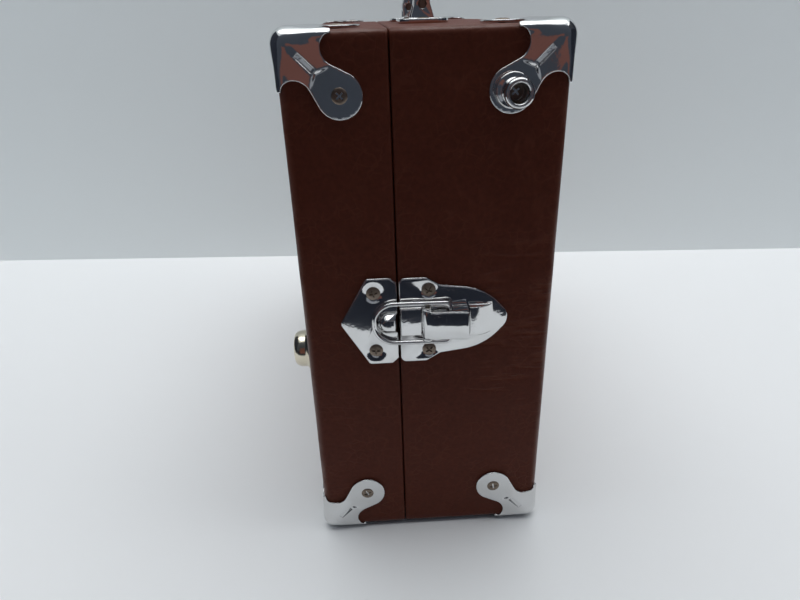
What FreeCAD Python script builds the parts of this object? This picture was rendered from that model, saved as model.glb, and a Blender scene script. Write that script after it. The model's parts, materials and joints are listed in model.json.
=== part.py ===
"""Portable tube tester in a covered carrying case, closed and standing on its corner caps.

Millimetres. +Z is up, X runs through the thin way of the case with the lid at -X, and Y runs along
it. The origin is under the middle of the case, on the surface that it stands on.
"""

import FreeCAD
import Part
import math
import os

V = FreeCAD.Vector
ORIGIN = V(0, 0, 0)
AXIS_X = V(1, 0, 0)
AXIS_Y = V(0, 1, 0)
AXIS_Z = V(0, 0, 1)

# How far a cutter runs past the face it opens, and how far fused pieces lap
PAST = 1.0
LAP = 0.1

# Case: two plywood trays, each glued into a leatherette covering
CASE_W = 104.0
CASE_L = 280.0
CASE_H = 226.0
LID_DEPTH = 39.4
SEAM_GAP = 0.3
EDGE_R = 2.6
RIM_R = 1.0
SKIN_T = 0.8
WALL_T = 8.0
FACE_T = 6.0
LIP_T = 4.0
LIP_REACH = 7.0
LIP_DEPTH = 14.0
LIP_CLEAR = 0.4

# Pressed corner caps, one on each corner of the case
CORNER_SEAT = 0.1
CORNER_CAP_T = 1.6
CORNER_CAP_R = 5.0
CORNER_LOBE_T = 1.0
CORNER_INSET = 21.4
CORNER_LOBE_R = 8.2
CORNER_NOTCH_ALONG = 22.3
CORNER_NOTCH_IN = 5.5
CORNER_NOTCH_R = 6.4
CORNER_NOTCH_START = 66.0
CORNER_FOLD = 13.8
CORNER_SLOT_IN = 10.2
CORNER_SLOT_L = 7.5
CORNER_SLOT_W = 2.0
CORNER_SLOT_DROP = 2.4

# Oval-headed wood screws, sunk into what they hold
SCREW_R = 1.5
SCREW_HEAD_R = 2.9
SCREW_HEAD_H = 0.5
SCREW_SINK = 0.9
SCREW_L = 6.6
SCREW_BITE = 5.0
SCREW_CLEAR = 0.1

# Strap studs on the upper base corners, and the feet
STUD_BASE_R = 6.4
STUD_BASE_H = 2.6
STUD_BASE_ROUND = 1.2
STUD_NECK_R = 4.0
STUD_FLARE = 1.2
STUD_RIM_R = 4.9
STUD_RIM_H = 2.4
STUD_RIM_ROUND = 0.8
STUD_H = 12.4
STUD_DISH_R = 3.6
STUD_DISH_STEP = 2.0
STUD_WEB = 5.0
FOOT_FLANGE_R = 10.2
FOOT_FLANGE_H = 2.6
FOOT_FLANGE_ROUND = 1.2
FOOT_R = 8.4
FOOT_ROUND = 1.6
FOOT_H = 9.0
FOOT_DISH_R = 3.8
FOOT_DISH_BEVEL = 1.0
FOOT_WEB = 4.0
FOOT_SCREW_BITE = 4.0
LID_FOOT_INSET = 25.0
LID_FOOT_RISE = 89.0
REAR_FOOT_INSET = 45.0

# Carrying handle: a bent bar that folds on two brackets
HANDLE_SPAN = 100.0
HANDLE_X = 6.0
HANDLE_BAR_R = 5.2
HANDLE_EYE_R = 5.6
HANDLE_BEND_R = 18.0
HANDLE_RISE = 45.0
HANDLE_PIVOT_H = 8.0
HANDLE_PIN_R = 2.0
HANDLE_PIN_CLEAR = 0.1
HANDLE_CHEEK_T = 2.4
HANDLE_CHEEK_R = 5.4
HANDLE_CHEEK_GAP = 0.4
HANDLE_FOOT_T = 2.0
HANDLE_FOOT_W = 23.0
HANDLE_FOOT_R = 5.8
HANDLE_SCREW_MARGIN = 1.0

# Draw latch at the middle of each end, sizes along X taken from the seam
LATCH_RISE = 1.2
PLATE_T = 1.2
PLATE_EDGE_R = 0.5
PLATE_CORNER_R = 1.6
CATCH_L = 24.4
CATCH_SHOULDER = 12.9
CATCH_HALF = 20.0
CATCH_BEVEL = 2.6
CATCH_GAP = 0.4
CATCH_SCREW_U = 10.0
CATCH_SCREW_H = 13.4
CATCH_TIP_R = 3.0
CATCH_DISH_R = 5.2
DOME_FACE = 9.5
DOME_HALF = 5.0
DOME_H = 3.3
DOME_SLOPE = 52.0
BASE_GAP = 0.5
BASE_L = 45.7
BASE_HALF = 19.6
BASE_SHOULDER = 11.6
BASE_WAIST = 17.4
BASE_WAIST_HALF = 16.0
BASE_BODY = 28.0
BASE_BODY_HALF = 14.6
BASE_TIP_R = 7.0
BASE_TIP_TURN = 50.0
BASE_SWELL = 1.7
BASE_SCREW_U = 12.7
BASE_SCREW_H = 14.0
BASE_CORNER_R = 2.6
BASE_DISH_R = 3.9
FULCRUM_U = 12.0
FULCRUM_N = 4.0
PIN_R = 1.1
PIN_CLEAR = 0.08
EAR_T = 1.0
EAR_R = 2.1
EAR_GAP = 0.2
BRIDGE_TOP = 2.6
BRIDGE_START = 0.8
KNUCKLE_R = 2.0
LEVER_HALF = 6.3
LEVER_END = 28.6
LEVER_TOP = 7.2
LEVER_TIP_TOP = 7.9
LEVER_WALL = 1.1
LEVER_BOTTOM = 1.7
LEVER_BEVEL = 1.0
LEVER_SAG = 0.5
BAIL_PIVOT_U = 21.4
BAIL_PIVOT_N = 3.4
BAIL_END_U = -10.2
BAIL_END_N = 2.5
BAIL_R = 1.0
BAIL_HALF = 9.0
BAIL_CORNER_R = 8.6
BAIL_HOOK_R = 2.2
BAIL_HOOK_END = 5.6
BAIL_CLEAR = 0.1
KEEPER_GAP = 0.8
KEEPER_L = 10.0
KEEPER_H = 2.8
KEEPER_HALF = 6.5
KEEPER_SWELL = 1.4
KEEPER_EDGE = 0.6
MOVING_GAP = 0.3

# Instrument panel and the rails that carry it
PANEL_SINK = 2.0
PANEL_T = 1.6
PANEL_CLEAR = 0.3
RAIL_W = 12.0
PANEL_SCREW_INSET = 6.0

# Meter. Insets run from the nearer end of the panel, heights from its middle
METER_INSET = 62.9
METER_Z = 44.0
METER_W = 84.0
METER_H = 70.0
METER_PROUD = 10.0
METER_RIM = 4.0
METER_LEDGE = 2.0
METER_FLOOR = 2.4
METER_CAN_R = 26.0
METER_CAN_DEPTH = 26.0
METER_R = 3.0
WINDOW_T = 1.8
DIAL_T = 0.8
NEEDLE_L = 40.0
NEEDLE_W = 1.0
NEEDLE_T = 0.6
NEEDLE_TAIL = 6.0
NEEDLE_HUB_R = 3.0
NEEDLE_HUB_T = 1.2
NEEDLE_PIN_R = 1.0
NEEDLE_PIN_L = 2.4
NEEDLE_DROP = 20.0
NEEDLE_ZERO = 45.0
NEEDLE_LIFT = 1.2

# Tube sockets
SOCKET_PROUD = 2.5
SOCKET_ROUND = 0.8
SOCKET_BODY = 14.0
SOCKET_Z = 62.0
OCTAL_Y = -8.0
OCTAL_R = 16.0
OCTAL_BODY_R = 13.0
OCTAL_PINS = 8
OCTAL_RING_R = 8.7
OCTAL_POST_R = 4.1
OCTAL_KEY_W = 1.3
OCTAL_KEY_REACH = 5.2
OCTAL_PIN_R = 1.3
NOVAL_INSET = 70.9
NOVAL_R = 11.5
NOVAL_BODY_R = 9.0
NOVAL_PINS = 9
NOVAL_RING_R = 5.95
MINI_INSET = 28.9
MINI_R = 10.0
MINI_BODY_R = 7.8
MINI_PINS = 7
MINI_RING_R = 4.76
SMALL_PIN_R = 0.8
PIN_DEPTH = 10.0

# Rotary controls
KNOB_Z = -54.0
HEATER_INSET = 42.9
LOAD_INSET = 100.9
KNOB_R = 17.0
KNOB_TOP_R = 12.5
KNOB_SKIRT_H = 5.0
KNOB_SKIRT_BEVEL = 2.0
KNOB_H = 17.0
KNOB_TAPER = 0.8
KNOB_ROUND = 1.4
KNOB_FLUTES = 12
KNOB_FLUTE_R = 2.0
KNOB_FLUTE_IN = 0.9
KNOB_INDEX_W = 1.2
KNOB_INDEX_DEPTH = 0.8
KNOB_LIFT = 0.6
KNOB_HOLLOW_R = 8.5
KNOB_HOLLOW_H = 4.0
SHAFT_R = 3.0
SHAFT_CLEAR = 0.06
SHAFT_TOP_WALL = 3.0
BUSH_R = 4.8
BUSH_H = 3.0
BUSH_CLEAR = 0.1
CONTROL_R = 15.0
CONTROL_DEPTH = 18.0
SHAFT_TAIL = 8.0

# Push button, toggle switch, pilot lamp and mains inlet
BUTTON_INSET = 96.9
BUTTON_R = 6.5
BUTTON_H = 7.0
BUTTON_ROUND = 1.2
BUTTON_TRAVEL = 3.0
BUTTON_STEM_R = 2.5
BUTTON_STEM_L = 6.0
BUTTON_RING_R = 9.5
BUTTON_RING_H = 3.0
BUTTON_RING_ROUND = 1.0
BUTTON_BODY_R = 8.0
BUTTON_BODY_DEPTH = 18.0
TOGGLE_INSET = 60.9
TOGGLE_BUSH_R = 5.8
TOGGLE_BUSH_H = 8.0
TOGGLE_BALL_R = 2.6
TOGGLE_L = 16.0
TOGGLE_TIP_R = 2.6
TOGGLE_ROOT_R = 1.5
TOGGLE_THROW = 12.0
TOGGLE_BODY_W = 15.0
TOGGLE_BODY_L = 28.0
TOGGLE_BODY_DEPTH = 18.0
PILOT_INSET = 26.9
PILOT_R = 7.0
PILOT_H = 6.0
PILOT_BEZEL_H = 2.4
PILOT_BODY_R = 6.0
PILOT_BODY_DEPTH = 20.0
INLET_INSET = 42.9
INLET_Z = 4.0
INLET_W = 34.0
INLET_H = 20.0
INLET_FLANGE = 4.0
INLET_FLANGE_T = 2.0
INLET_DEPTH = 15.0
INLET_WALL = 2.0
INLET_PIN_R = 1.6
INLET_PIN_GAP = 12.0
INLET_PIN_SINK = 2.0

# Power transformer, hung behind the panel
TRAFO_Y = 2.0
TRAFO_Z = 2.0
TRAFO_L = 54.0
TRAFO_H = 44.0
TRAFO_STACK = 22.0
TRAFO_LIMB = 9.0
TRAFO_FOOT_T = 1.5
TRAFO_FOOT_L = 12.0
TRAFO_FOOT_H = 22.0
COIL_PROUD = 7.0
COIL_PANEL_GAP = 1.0
COIL_R = 4.0
COIL_CLEAR = 0.3

# Places worked out from the sizes above
STAND = CORNER_SEAT + CORNER_CAP_T
CASE_TOP = STAND + CASE_H
MID_Z = STAND + CASE_H / 2
LID_FACE = -CASE_W / 2
REAR_FACE = CASE_W / 2
SEAM_X = LID_FACE + LID_DEPTH
LID_RIM = SEAM_X - SEAM_GAP / 2
BASE_RIM = SEAM_X + SEAM_GAP / 2
END_Y = CASE_L / 2
HOLLOW_Y = END_Y - SKIN_T - WALL_T
HOLLOW_Z = CASE_H / 2 - SKIN_T - WALL_T
LOBE_TOP = CORNER_SEAT + CORNER_LOBE_T
LATCH_Z = MID_Z + LATCH_RISE
PLATE_DISH = PLATE_T - SCREW_SINK
HANDLE_Y = HANDLE_SPAN / 2
PIVOT_Z = CASE_TOP + HANDLE_PIVOT_H
PANEL_FRONT = BASE_RIM + PANEL_SINK
PANEL_BACK = PANEL_FRONT + PANEL_T
PANEL_Y = HOLLOW_Y - LIP_T - PANEL_CLEAR
PANEL_Z = HOLLOW_Z - LIP_T - PANEL_CLEAR
RAIL_BACK = BASE_RIM + LIP_DEPTH
METER_Y = PANEL_Y - METER_INSET
NOVAL_Y = NOVAL_INSET - PANEL_Y
MINI_Y = MINI_INSET - PANEL_Y
HEATER_Y = PANEL_Y - HEATER_INSET
LOAD_Y = PANEL_Y - LOAD_INSET
BUTTON_Y = BUTTON_INSET - PANEL_Y
TOGGLE_Y = TOGGLE_INSET - PANEL_Y
PILOT_Y = PILOT_INSET - PANEL_Y
INLET_Y = INLET_INSET - PANEL_Y
TRAFO_FRONT = -PANEL_T - COIL_PANEL_GAP - COIL_PROUD


def box(x0, x1, y0, y1, z0, z1):
    return Part.makeBox(x1 - x0, y1 - y0, z1 - z0, V(x0, y0, z0))


def rod(radius, start, end):
    run = end - start
    return Part.makeCylinder(radius, run.Length, start, run)


def outline(start, *steps):
    """Closed wire: a step is a point for a straight run, or a pair for an arc through and to."""
    edges = []
    here = start
    for step in steps + (start,):
        if isinstance(step, tuple):
            edges.append(Part.Arc(here, step[0], step[1]).toShape())
            here = step[1]
        elif (step - here).Length > 1e-6:
            edges.append(Part.LineSegment(here, step).toShape())
            here = step
    return Part.Wire(edges)


def prism(wire, run):
    return Part.Face(wire).extrude(run)


def turned(start, *steps):
    """Solid of revolution about +Z from a profile of (radius, height) points and arc pairs."""
    def point(p):
        return V(p[0], 0, p[1])

    made = [(point(s[0]), point(s[1])) if isinstance(s[0], tuple) else point(s) for s in steps]
    return Part.Face(outline(point(start), *made)).revolve(ORIGIN, AXIS_Z, 360)


def dome(radius, low, rise):
    """Arc step of a turned profile: a round cap from a rim up to the axis."""
    ball = (radius ** 2 + rise ** 2) / (2 * rise)
    half = math.asin(radius / ball) / 2
    if rise > radius:
        half = math.pi / 2 - half
    middle = low + rise - ball
    return (ball * math.sin(half), middle + ball * math.cos(half)), (0, low + rise)


def shoulder(radius, height, round_r):
    """Steps of a turned profile: a side that ends at a height in a quarter round."""
    short = round_r * (1 - math.sqrt(0.5))
    return (radius, height - round_r), ((radius - short, height - short), (radius - round_r, height))


def bulge(start, end, rise, axis):
    """Middle point of an arc that stands off its chord, to the right of it as seen along the axis."""
    return (start + end) * 0.5 + (end - start).cross(axis).normalize() * rise


def upright_edges(shape):
    return [e for e in shape.Edges if near(e.Vertexes[0].X, e.Vertexes[1].X)
            and near(e.Vertexes[0].Y, e.Vertexes[1].Y)]


def seated(shape, point, normal):
    """A copy with its +Z turned to the normal and its origin on the point."""
    copy = shape.copy()
    copy.Placement = FreeCAD.Placement(point, FreeCAD.Rotation(AXIS_Z, normal))
    return copy


def to_far(shape):
    return shape.mirror(ORIGIN, AXIS_Y)


def rounded(shape, radius, chosen):
    """Round the edges whose ends all pass the test."""
    edges = [e for e in shape.Edges if all(chosen(v.Point) for v in e.Vertexes)]
    return shape.makeFillet(radius, edges)


def near(a, b):
    return abs(a - b) < 1e-6


def tray_block(rim, face, inset, edge_r):
    """Solid of one half of the case, with its four long edges and its closed face rounded."""
    half_y = END_Y - inset
    bottom = STAND + inset
    top = CASE_TOP - inset
    block = box(min(rim, face), max(rim, face), -half_y, half_y, bottom, top)
    edges = [e for e in block.Edges if not all(near(v.X, rim) for v in e.Vertexes)]
    return block.makeFillet(edge_r, edges)


def tray(rim, face, clear):
    """Five glued boards of a wooden tray, and the covering that also wraps the rim."""
    inward = 1 if face > rim else -1
    wood_rim = rim + inward * SKIN_T
    wood_face = face - inward * SKIN_T
    floor = wood_face - inward * FACE_T
    block = tray_block(wood_rim, wood_face, SKIN_T, EDGE_R - SKIN_T)
    skin = tray_block(rim, face, 0, EDGE_R)
    skin = rounded(skin, RIM_R, lambda p: near(p.x, rim))
    wide = HOLLOW_Y + clear
    low = MID_Z - HOLLOW_Z - clear
    high = MID_Z + HOLLOW_Z + clear
    walls = sorted((wood_rim, floor))
    boards = (
        box(*sorted((floor, wood_face)), -END_Y, END_Y, STAND, CASE_TOP),
        box(*walls, -END_Y, END_Y, high, CASE_TOP),
        box(*walls, -END_Y, END_Y, STAND, low),
        box(*walls, -END_Y, -wide, low, high),
        box(*walls, wide, END_Y, low, high),
    )
    wood = Part.makeCompound([block.common(board).Solids[0] for board in boards])
    hollow = box(*sorted((rim - inward * PAST, floor)), -wide, wide, low, high)
    return wood, skin.cut(block.fuse(hollow))


def locating_lip():
    """Four strips glued inside the base that the lid's rim slips over."""
    start = BASE_RIM - LIP_REACH
    end = BASE_RIM + LIP_DEPTH
    low = MID_Z - HOLLOW_Z
    high = MID_Z + HOLLOW_Z
    y = HOLLOW_Y - LIP_T
    return Part.makeCompound([
        box(start, end, -HOLLOW_Y, HOLLOW_Y, high - LIP_T, high),
        box(start, end, -HOLLOW_Y, HOLLOW_Y, low, low + LIP_T),
        box(start, end, -HOLLOW_Y, -y, low + LIP_T, high - LIP_T),
        box(start, end, y, HOLLOW_Y, low + LIP_T, high - LIP_T),
    ])


def wood_screw(length):
    """Screw whose countersunk head is level with the origin."""
    return turned(
        (0, -length),
        (SCREW_R, SCREW_R - length),
        (SCREW_R, -SCREW_SINK),
        (SCREW_HEAD_R, 0),
        dome(SCREW_HEAD_R, 0, SCREW_HEAD_H),
    )


def screw_hole(through):
    """Cutter for a countersunk hole that clears a screw placed at the same origin."""
    hole_r = SCREW_R + SCREW_CLEAR
    mouth_r = SCREW_HEAD_R + SCREW_CLEAR
    return turned(
        (0, -through),
        (hole_r, -through),
        (hole_r, -SCREW_SINK),
        (mouth_r, 0),
        (mouth_r, SCREW_HEAD_H),
        (0, SCREW_HEAD_H),
    )


def corner_frame(shape, corner):
    """Carry a shape from a corner at the origin, its case in the positive octant, to a case corner."""
    for sign, axis in zip(corner, (AXIS_X, AXIS_Y, AXIS_Z)):
        if sign > 0:
            shape = shape.mirror(ORIGIN, axis)
    height = CASE_TOP if corner[2] > 0 else STAND
    return shape.translated(V(corner[0] * CASE_W / 2, corner[1] * END_Y, height))


def corner_outline(level):
    """One leg of a corner cap, flat on the XY plane: two hollow notches, then straight to a round lobe."""
    notch = V(CORNER_NOTCH_ALONG, CORNER_NOTCH_IN, level)
    lobe = V(CORNER_INSET, CORNER_INSET, level)
    between = lobe - notch
    cross = math.asin((CORNER_NOTCH_R + CORNER_LOBE_R) / between.Length)
    across = math.atan2(between.y, between.x) - cross + math.pi / 2
    square = V(math.cos(across), math.sin(across), 0)
    start = math.radians(CORNER_NOTCH_START)
    back = CORNER_CAP_T + PAST
    begin = notch - V(math.cos(start), math.sin(start), 0) * CORNER_NOTCH_R
    waist = notch - V(math.cos(start / 3), -math.sin(start / 3), 0) * CORNER_NOTCH_R
    leave = notch + square * CORNER_NOTCH_R
    meet = lobe - square * CORNER_LOBE_R
    tip = lobe + V(1, 1, 0) * (CORNER_LOBE_R / math.sqrt(2))

    def swap(p):
        return V(p.y, p.x, p.z)

    return outline(
        V(-back, -back, level),
        V(begin.x, -back, level),
        begin,
        (waist, leave),
        meet,
        (tip, swap(meet)),
        swap(leave),
        (swap(waist), swap(begin)),
        V(-back, begin.x, level),
    )


def three_ways(shape):
    """The shape on each of the three faces that meet at a corner."""
    turn = V(1, 1, 1)
    return [shape.rotated(ORIGIN, turn, angle) for angle in (0, 120, 240)]


def corner_shell(thick, radius):
    """Rounded outer corner of a given thickness, before its legs are cut out."""
    reach = CORNER_INSET + CORNER_LOBE_R + PAST
    low = -CORNER_SEAT - thick
    outer = box(low, reach, low, reach, low, reach)
    low_edges = [e for e in outer.Edges if sum(near(e.CenterOfMass[i], low) for i in range(3)) == 2]
    outer = outer.makeFillet(radius, low_edges)
    inner = box(-CORNER_SEAT, reach, -CORNER_SEAT, reach, -CORNER_SEAT, reach)
    in_edges = [e for e in inner.Edges if sum(near(e.CenterOfMass[i], -CORNER_SEAT) for i in range(3)) == 2]
    return outer.cut(inner.makeFillet(EDGE_R + CORNER_SEAT, in_edges))


def corner_cap():
    """Three-legged cap: thicker round the corner, lanced, stepped down to a flat lobe on each leg."""
    depth = EDGE_R * (1 - math.sqrt(0.5)) + LAP
    back = CORNER_CAP_T + CORNER_SEAT + PAST
    leg = prism(corner_outline(-back), V(0, 0, back + depth))
    fold = 2 * CORNER_FOLD + back
    wedge = outline(V(-back, -back, -back), V(fold, -back, -back), V(-back, fold, -back))
    formed = leg.common(prism(wedge, V(0, 0, back + depth)))
    legs = three_ways(leg)
    caps = three_ways(formed)
    flat = corner_shell(CORNER_LOBE_T, EDGE_R + CORNER_SEAT + CORNER_LOBE_T).common(legs[0].fuse(legs[1:]))
    raised = corner_shell(CORNER_CAP_T, CORNER_CAP_R).common(caps[0].fuse(caps[1:]))
    side = V(1, -1, 0) * (CORNER_SLOT_W / math.sqrt(2))
    ahead = V(1, 1, 0) * (CORNER_SLOT_L / math.sqrt(2))
    near_end = V(CORNER_SLOT_IN, CORNER_SLOT_IN, 0) - ahead * 0.5 - side * 0.5
    face = near_end - AXIS_Z * (CORNER_SEAT + CORNER_CAP_T)
    over = face - AXIS_Z * PAST
    floor_end = face + ahead + AXIS_Z * CORNER_SLOT_DROP
    slot = prism(outline(face, over, over + ahead, floor_end), side)
    hole = seated(screw_hole(LOBE_TOP), V(CORNER_INSET, CORNER_INSET, -LOBE_TOP), -AXIS_Z)
    return flat.fuse(raised).cut(three_ways(slot) + three_ways(hole)).removeSplitter()


def corner_seats(corner):
    """Where the three screws of a corner cap sit, each with its outward direction."""
    near_point = V(CORNER_INSET, CORNER_INSET, CORNER_INSET)
    seats = {}
    for i, axis in enumerate((AXIS_X, AXIS_Y, AXIS_Z)):
        spot = V(*[-LOBE_TOP if k == i else near_point[k] for k in range(3)])
        inward = V(*[-s for s in corner])
        height = CASE_TOP if corner[2] > 0 else STAND
        place = V(corner[0] * CASE_W / 2, corner[1] * END_Y, height)
        point = place + V(spot.x * inward.x, spot.y * inward.y, spot.z * inward.z)
        seats["xyz"[i]] = (point, axis * corner[i])
    return seats


def strap_stud():
    """Turned button that a strap's hole slips over: foot, neck and dished rim."""
    rim_low = STUD_H - STUD_RIM_H
    return turned(
        (SCREW_R + SCREW_CLEAR, 0),
        (STUD_BASE_R, 0),
        *shoulder(STUD_BASE_R, STUD_BASE_H, STUD_BASE_ROUND),
        (STUD_NECK_R, STUD_BASE_H + STUD_FLARE),
        (STUD_NECK_R, rim_low - STUD_FLARE),
        (STUD_RIM_R, rim_low),
        *shoulder(STUD_RIM_R, STUD_H, STUD_RIM_ROUND),
        (STUD_DISH_R, STUD_WEB + STUD_DISH_STEP),
        (STUD_DISH_R, STUD_WEB),
        (SCREW_HEAD_R + SCREW_CLEAR, STUD_WEB),
        (SCREW_R + SCREW_CLEAR, STUD_WEB - SCREW_SINK),
    )


def foot():
    """Pressed case foot: flange, rounded body and a dish that hides its screw."""
    return turned(
        (SCREW_R + SCREW_CLEAR, 0),
        (FOOT_FLANGE_R, 0),
        *shoulder(FOOT_FLANGE_R, FOOT_FLANGE_H, FOOT_FLANGE_ROUND),
        (FOOT_R, FOOT_FLANGE_H),
        *shoulder(FOOT_R, FOOT_H, FOOT_ROUND),
        (FOOT_DISH_R + FOOT_DISH_BEVEL, FOOT_H),
        (FOOT_DISH_R, FOOT_H - FOOT_DISH_BEVEL),
        (FOOT_DISH_R, FOOT_WEB),
        (SCREW_HEAD_R + SCREW_CLEAR, FOOT_WEB),
        (SCREW_R + SCREW_CLEAR, FOOT_WEB - SCREW_SINK),
    )


def handle_bow():
    """Bent bar with a pivot eye at the foot of each leg."""
    grip = CASE_TOP + HANDLE_RISE - HANDLE_BAR_R
    bend = HANDLE_BEND_R
    corner = bend * (1 - math.sqrt(0.5))

    def at(y, z):
        return V(HANDLE_X, y, z)

    runs = [
        Part.LineSegment(at(-HANDLE_Y, PIVOT_Z), at(-HANDLE_Y, grip - bend)).toShape(),
        Part.Arc(
            at(-HANDLE_Y, grip - bend), at(corner - HANDLE_Y, grip - corner), at(bend - HANDLE_Y, grip)
        ).toShape(),
        Part.LineSegment(at(bend - HANDLE_Y, grip), at(HANDLE_Y - bend, grip)).toShape(),
        Part.Arc(
            at(HANDLE_Y - bend, grip), at(HANDLE_Y - corner, grip - corner), at(HANDLE_Y, grip - bend)
        ).toShape(),
        Part.LineSegment(at(HANDLE_Y, grip - bend), at(HANDLE_Y, PIVOT_Z)).toShape(),
    ]
    ring = Part.Wire(Part.makeCircle(HANDLE_BAR_R, at(-HANDLE_Y, PIVOT_Z), AXIS_Z))
    bar = Part.Wire(runs).makePipeShell([ring], True, False)
    half = V(0, HANDLE_BAR_R, 0)
    for y in (-HANDLE_Y, HANDLE_Y):
        eye = rod(HANDLE_EYE_R, at(y, PIVOT_Z) - half, at(y, PIVOT_Z) + half)
        bore = rod(HANDLE_PIN_R + HANDLE_PIN_CLEAR, at(y, PIVOT_Z) - half, at(y, PIVOT_Z) + half)
        bar = bar.fuse(eye).cut(bore)
    return bar.removeSplitter()


def handle_cheek_ends():
    inner = HANDLE_BAR_R + HANDLE_CHEEK_GAP
    return inner, inner + HANDLE_CHEEK_T


def handle_bracket(y):
    """Foot plate on the case top with two upright cheeks, one each side of the handle's leg."""
    inner, outer = handle_cheek_ends()
    flank = HANDLE_FOOT_W / 2
    reach = outer + 2 * (SCREW_HEAD_R + HANDLE_SCREW_MARGIN)
    plate = box(
        HANDLE_X - flank, HANDLE_X + flank, y - reach, y + reach, CASE_TOP, CASE_TOP + HANDLE_FOOT_T
    )
    bracket = plate.makeFillet(HANDLE_FOOT_R, upright_edges(plate))
    side = HANDLE_CHEEK_R
    for start in (y + inner, y - outer):
        cheek = prism(
            outline(
                V(HANDLE_X - side, start, CASE_TOP),
                V(HANDLE_X + side, start, CASE_TOP),
                V(HANDLE_X + side, start, PIVOT_Z),
                (V(HANDLE_X, start, PIVOT_Z + side), V(HANDLE_X - side, start, PIVOT_Z)),
            ),
            V(0, HANDLE_CHEEK_T, 0),
        )
        bracket = bracket.fuse(cheek)
    pin = rod(HANDLE_PIN_R, V(HANDLE_X, y - outer, PIVOT_Z), V(HANDLE_X, y + outer, PIVOT_Z))
    holes = [seated(screw_hole(HANDLE_FOOT_T), point, AXIS_Z) for point in handle_screw_seats(y)]
    return bracket.cut([pin] + holes).removeSplitter()


def handle_screw_seats(y):
    outer = handle_cheek_ends()[1]
    away = outer + SCREW_HEAD_R + HANDLE_SCREW_MARGIN
    return [V(HANDLE_X, y + s * away, CASE_TOP + HANDLE_FOOT_T) for s in (-1, 1)]


def handle_pin(y):
    outer = handle_cheek_ends()[1]
    return rod(HANDLE_PIN_R, V(HANDLE_X, y - outer, PIVOT_Z), V(HANDLE_X, y + outer, PIVOT_Z))


def on_end(u, n, h):
    """Point on the near end: u from the seam, n out from the covering, h from the latch's middle."""
    return V(SEAM_X + u, -END_Y - n, LATCH_Z + h)


def end_prism(wire, thick):
    return prism(wire, V(0, -thick, 0))


def soften(plate, level, radius):
    """Round the outer rim of a plate's top face."""
    return rounded(plate, radius, lambda p: near(p.y, -END_Y - level))


def catch_plate():
    """Lid half of the latch: a pointed plate with a sloped dome that holds the bail."""
    back = -CATCH_GAP
    wire = outline(
        on_end(-CATCH_L, 0, 0),
        on_end(-CATCH_SHOULDER, 0, CATCH_HALF),
        on_end(back - CATCH_BEVEL, 0, CATCH_HALF),
        on_end(back, 0, CATCH_HALF - CATCH_BEVEL),
        on_end(back, 0, CATCH_BEVEL - CATCH_HALF),
        on_end(back - CATCH_BEVEL, 0, -CATCH_HALF),
        on_end(-CATCH_SHOULDER, 0, -CATCH_HALF),
    )
    blank = end_prism(wire, PLATE_T)
    blank = blank.makeFillet(CATCH_TIP_R, end_edges(blank, lambda u: near(u, -CATCH_L)))
    blank = blank.makeFillet(PLATE_CORNER_R, end_edges(blank, lambda u: near(u, -CATCH_SHOULDER)))
    plate = soften(blank, PLATE_T, PLATE_EDGE_R)
    shrink = DOME_H / math.tan(math.radians(DOME_SLOPE))

    def dome_wire(level, inset):
        middle = DOME_HALF - DOME_FACE
        half = DOME_HALF - inset
        return outline(
            on_end(back - inset / 2, level, half),
            on_end(middle, level, half),
            (on_end(middle - half, level, 0), on_end(middle, level, -half)),
            on_end(back - inset / 2, level, -half),
        )

    dome = Part.makeLoft([dome_wire(PLATE_T, 0), dome_wire(PLATE_T + DOME_H, shrink)], True, True)
    dome = soften(dome, PLATE_T + DOME_H, PLATE_EDGE_R)
    return plate.fuse(dome).cut(end_holes(-CATCH_SCREW_U, CATCH_SCREW_H, CATCH_DISH_R)).removeSplitter()


def end_edges(plate, chosen):
    """Corner edges of a plate on the near end whose distance from the seam passes the test."""
    square = [e for e in plate.Edges if near(abs(e.tangentAt(e.FirstParameter).y), 1)]
    return [e for e in square if chosen(e.Vertexes[0].X - SEAM_X)]


def end_holes(u, h, dish_r):
    """Cutters for a latch plate's two screws, each at the bottom of a wide shallow dish."""
    mouth_r = SCREW_HEAD_R + SCREW_CLEAR
    above = PLATE_DISH + PAST
    dish = turned((0, 0), (mouth_r, 0), (dish_r, PLATE_DISH), (dish_r, above), (0, above))
    cutter = screw_hole(SCREW_SINK).fuse(dish)
    return [seated(cutter, on_end(u, SCREW_SINK, s * h), -AXIS_Y) for s in (-1, 1)]


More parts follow.
